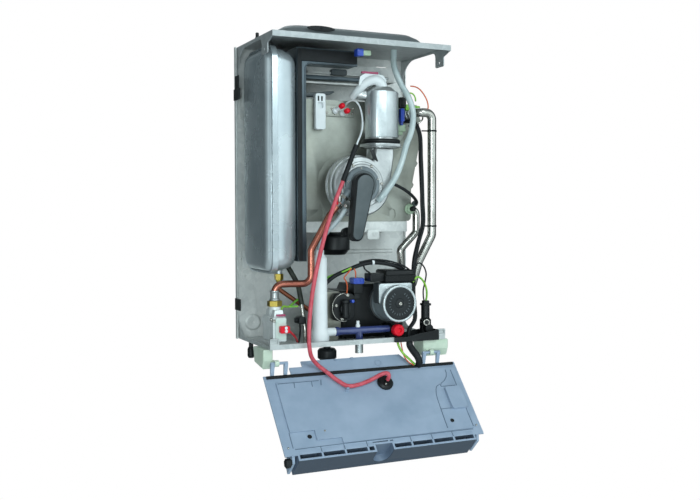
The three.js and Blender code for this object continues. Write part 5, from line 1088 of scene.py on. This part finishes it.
def makeTopDetails():
    form("railClamp", "silverRim",
         block(86, 96, 574, 606, 3, -62, 46, 1.2), hexNut((91, -108, 598), forward, 8, 6),
         hexNut((91, -108, 583), forward, 7, 5),
         turned([(0, 0), (2.6, 0), (2.6, 52), (0, 53)], (70, -100, 592), (1, 0, 0.02), 16, 0.4))
    # sealed gap over the exchanger: a dark lip that swells toward its left end
    form("exchangerLip", ("galvanised_steel", "ridgedSlate"), toFront(chamberMark["lip"], -86, 16, 1.2))
    form("igniterScrews", "chromed_pipe",
         *(panScrew((x, -124.6, z), 3, 2) for x, z in chamberMark["igniterScrews"]))
    x, z = chamberMark["port"]
    form("portNut", "clampSteel", hexNut((x, -129.5, z), forward, 15.5, 9, 12.4),
         turned([(12.6, 0), (17, 0), (17, 3), (15, 5), (12.6, 5)], (x, -124, z), forward, 40))
    coil = chamberMark["coil"]
    turn = np.linspace(*coil["turn"], 60)[:, None]
    loop = coil["centre"] + coil["reach"] * np.c_[np.cos(turn), np.sin(turn), np.sin(turn)]
    form("sideEarth", "greenWire", swept(loop, 1.7, 12))
    # drawn inner edge of the chamber's frame
    form("frameEdge", "chamberSteel", swept(bentRun(chamberMark["edge"], 12), 1.5, 12))
    # clips and clamps round the outside
    form("wallClips", "black_plastic",
         riser([(-217, -8), (-217, -46), (-213.4, -46), (-213.4, -8)], 534, 559, 0.9),
         riser([(-215.8, -14), (-215.8, -38), (-213.4, -38), (-213.4, -14)], 559, 588, 0.7),
         riser([(-217, -8), (-217, -42), (-213.4, -42), (-213.4, -8)], 66, 92, 0.9))
    levels = chamberMark["clampLevels"]
    form("flowClamps", "black_rubber", *(cableTie((201.8, -165, z), upward, 10.2, 4) for z in levels),
         *(swept([(178, -160, z), (186, -162, z), (193, -164, z)], 1.6, 10) for z in levels))
    rose = chamberMark["rose"]
    oval = arc(0, 0, 1) * (rose["wide"], rose["high"]) + (rose["x"], rose["z"])
    form("hoodRose", "black_rubber", toFront(oval, -224.6, 3, 0.8),
         panScrew((rose["x"], -227.6, rose["z"]), 2.4, 1.4))
    form("barPlate", "galvanised_steel", block(56, 86, 224, 246, 4, -127.3, 2.2),
         turned([(3.2, 0), (5.4, 0), (5.4, 1.2), (3.2, 1.2)], (74, -129.4, 236), forward, 28, 0.3))


# ---- gas valve, drain and the lower left corner

valveMark = {
    "pins": ((-175, 45.5), (-174.5, 39)),
    "sideScrews": ((-198, -204, 62), (-198, -204, 20)),
    "frontScrews": ((-196, -213, 60), (-196, -213, 18)),
    "sleeve": [(-131.4, -119.6, 167), (-113, -134, 128), (-108.5, -144.5, 84)],
}


def makeValveDetails():
    form("valvePins", "white_plastic", *(
        turned([(0, 0), (3.4, 0), (3.4, 1.4), (2.2, 2.0), (0, 1.2)], (x, -228, z), forward, 20)
        for x, z in valveMark["pins"]))
    form("valveScrews", "chromed_pipe", *(panScrew(at, 3.6, 3, (-1, 0, 0)) for at in valveMark["sideScrews"]),
         *(panScrew(at, 3.6, 3) for at in valveMark["frontScrews"]))
    form("gasUnion", "clampSteel", turned(
        [(7.7, 0), (11, 0), (11, 3), (9, 5), (9, 17), (10, 18), (10, 21), (7.7, 21)],
        (-183.5, -181.5, 99.6), upward, 32))
    form("fillValve", "black_plastic", block(-122, -106.4, 44, 60, 4, -138, 26, 1.6),
         plug([(6, 0), (6, 6), (4, 8)], (-120, -150, 52), (-1, 0, 0), 28))
    form("ventSleeve", "hoseDark", swept(bentRun(valveMark["sleeve"], 24), 5.6, 18))
    form("earthTag", "greenWire",
         riser([(-150, -150), (-150, -153), (-120, -153), (-120, -150)], 80, 84, 0.6))
    form("drainSleeve", "clampSteel", turned(
        [(8.05, 0), (8.8, 0), (8.8, 22), (6.6, 22), (6.6, 20.9), (8.05, 20.9), (8.05, 0)],
        (8, -189, -0.6), (0, 0, -1), 40, 0))


# ---- solids that keep their shape, as copies with softened edges

softEdges = {  # edge radius in mm: nodes
    0.5: ("vessel_strap_upper", "vessel_strap_lower", "drain_pipe", "plate_exchanger", "pump_face",
          "wiring_tray"),
    0.6: ("back_panel", "bottom_rail", "bracket_rail", "cross_bar", "clamp_plug", "fan_inlet_ring",
          "outlet_clamp", "relief_cap", "flow_sensor", "panel_cover", "lead_socket"),
    0.7: ("top_plate", "chamber_frame", "panel_shell"),
    0.8: ("vessel_inner_shell", "vessel_union", "exchanger_cover", "fan_motor", "gas_nut", "condensate_trap",
          "diverter_actuator", "side_tap", "main_tap", "heating_knob", "water_knob"),
    0.9: ("mixture_pipe", "gas_valve", "pump_body"),
    1.0: ("vessel_outer_shell", "pump_terminal_box", "hinge_block_left", "hinge_block_right"),
    1.2: ("condensate_sump", "hydraulic_block", "panel_fascia"),
    1.4: ("exchanger_body",),
    1.6: ("fan_volute",),
    2.0: ("silencer",),
    2.2: ("flue_hood",),
}
roundFrom = 1.4  # edges of this radius and more get three segments, the others two
softFinish = {"top_plate": "dullZinc", "bottom_rail": "paleZinc", "chamber_frame": "chamberSteel",
              "exchanger_cover": "coverSteel", "fan_inlet_ring": "plasticDisc", "silencer": "black_plastic",
              "gas_valve": "valveAlloy", "panel_shell": "panelSlate"}
shortName = {"vessel_outer_shell": "vesselOuter", "vessel_inner_shell": "vesselInner",
             "vessel_strap_upper": "strapUpper", "vessel_strap_lower": "strapLower",
             "fan_inlet_ring": "inletRing", "pump_terminal_box": "terminalBox"}
panelNodes = ("panel_shell", "panel_fascia", "panel_cover", "lead_socket")


def softCopy(node, edge, look, body, angle=31):
    # a copy of a solid with its flat faces joined and its edges rounded over
    name = shortName.get(node, camel(node))
    mesh = frame["nodes"][node].data.copy()
    mesh.name = name
    soup = bmesh.new()
    soup.from_mesh(mesh)
    bmesh.ops.remove_doubles(soup, verts=soup.verts, dist=1e-6)
    bmesh.ops.dissolve_limit(soup, angle_limit=math.radians(0.05), verts=soup.verts, edges=soup.edges)
    soup.to_mesh(mesh)
    soup.free()
    piece = finishPiece(name, mesh, look, body, (node,), angle)
    bevel = piece.modifiers.new("edges", "BEVEL")
    bevel.width = edge / 1000
    bevel.segments = 3 if edge >= roundFrom else 2
    bevel.limit_method = "ANGLE"
    bevel.angle_limit = math.radians(angle)
    bevel.harden_normals = True


def makeSoftCopies():
    slots = {part["node"]: part["material_slot"] for part in frame["record"]["subparts"]}
    for edge, nodes in softEdges.items():
        for node in nodes:
            body = "control_panel" if node in panelNodes else node if node in frame["bodies"] else "chassis"
            softCopy(node, edge, (slots[node], softFinish.get(node, slots[node])), body)


makeCamera()
makeStudio()
finishes = makeFinishes()
print("camera, light and finishes made")
makeCords()
makeLoom()
print("cords and wires made")
makePipes()
print("pipes made")
makeBlocksAndPlugs()
print("blocks and plugs made")
makeFanDetails()
makeMixerDetails()
print("fan and mixture pipe detailed")
makePumpDetails()
print("pump and diverter detailed")
makePanelDetails()
makeTopDetails()
makeValveDetails()
print("panel, chamber and gas valve detailed")
makeSoftCopies()
print("softened solids made")
impeller = frame["nodes"]["fan_impeller"]
impeller.data.materials.clear()
impeller.data.materials.append(finishes["dark_grey_plastic"])
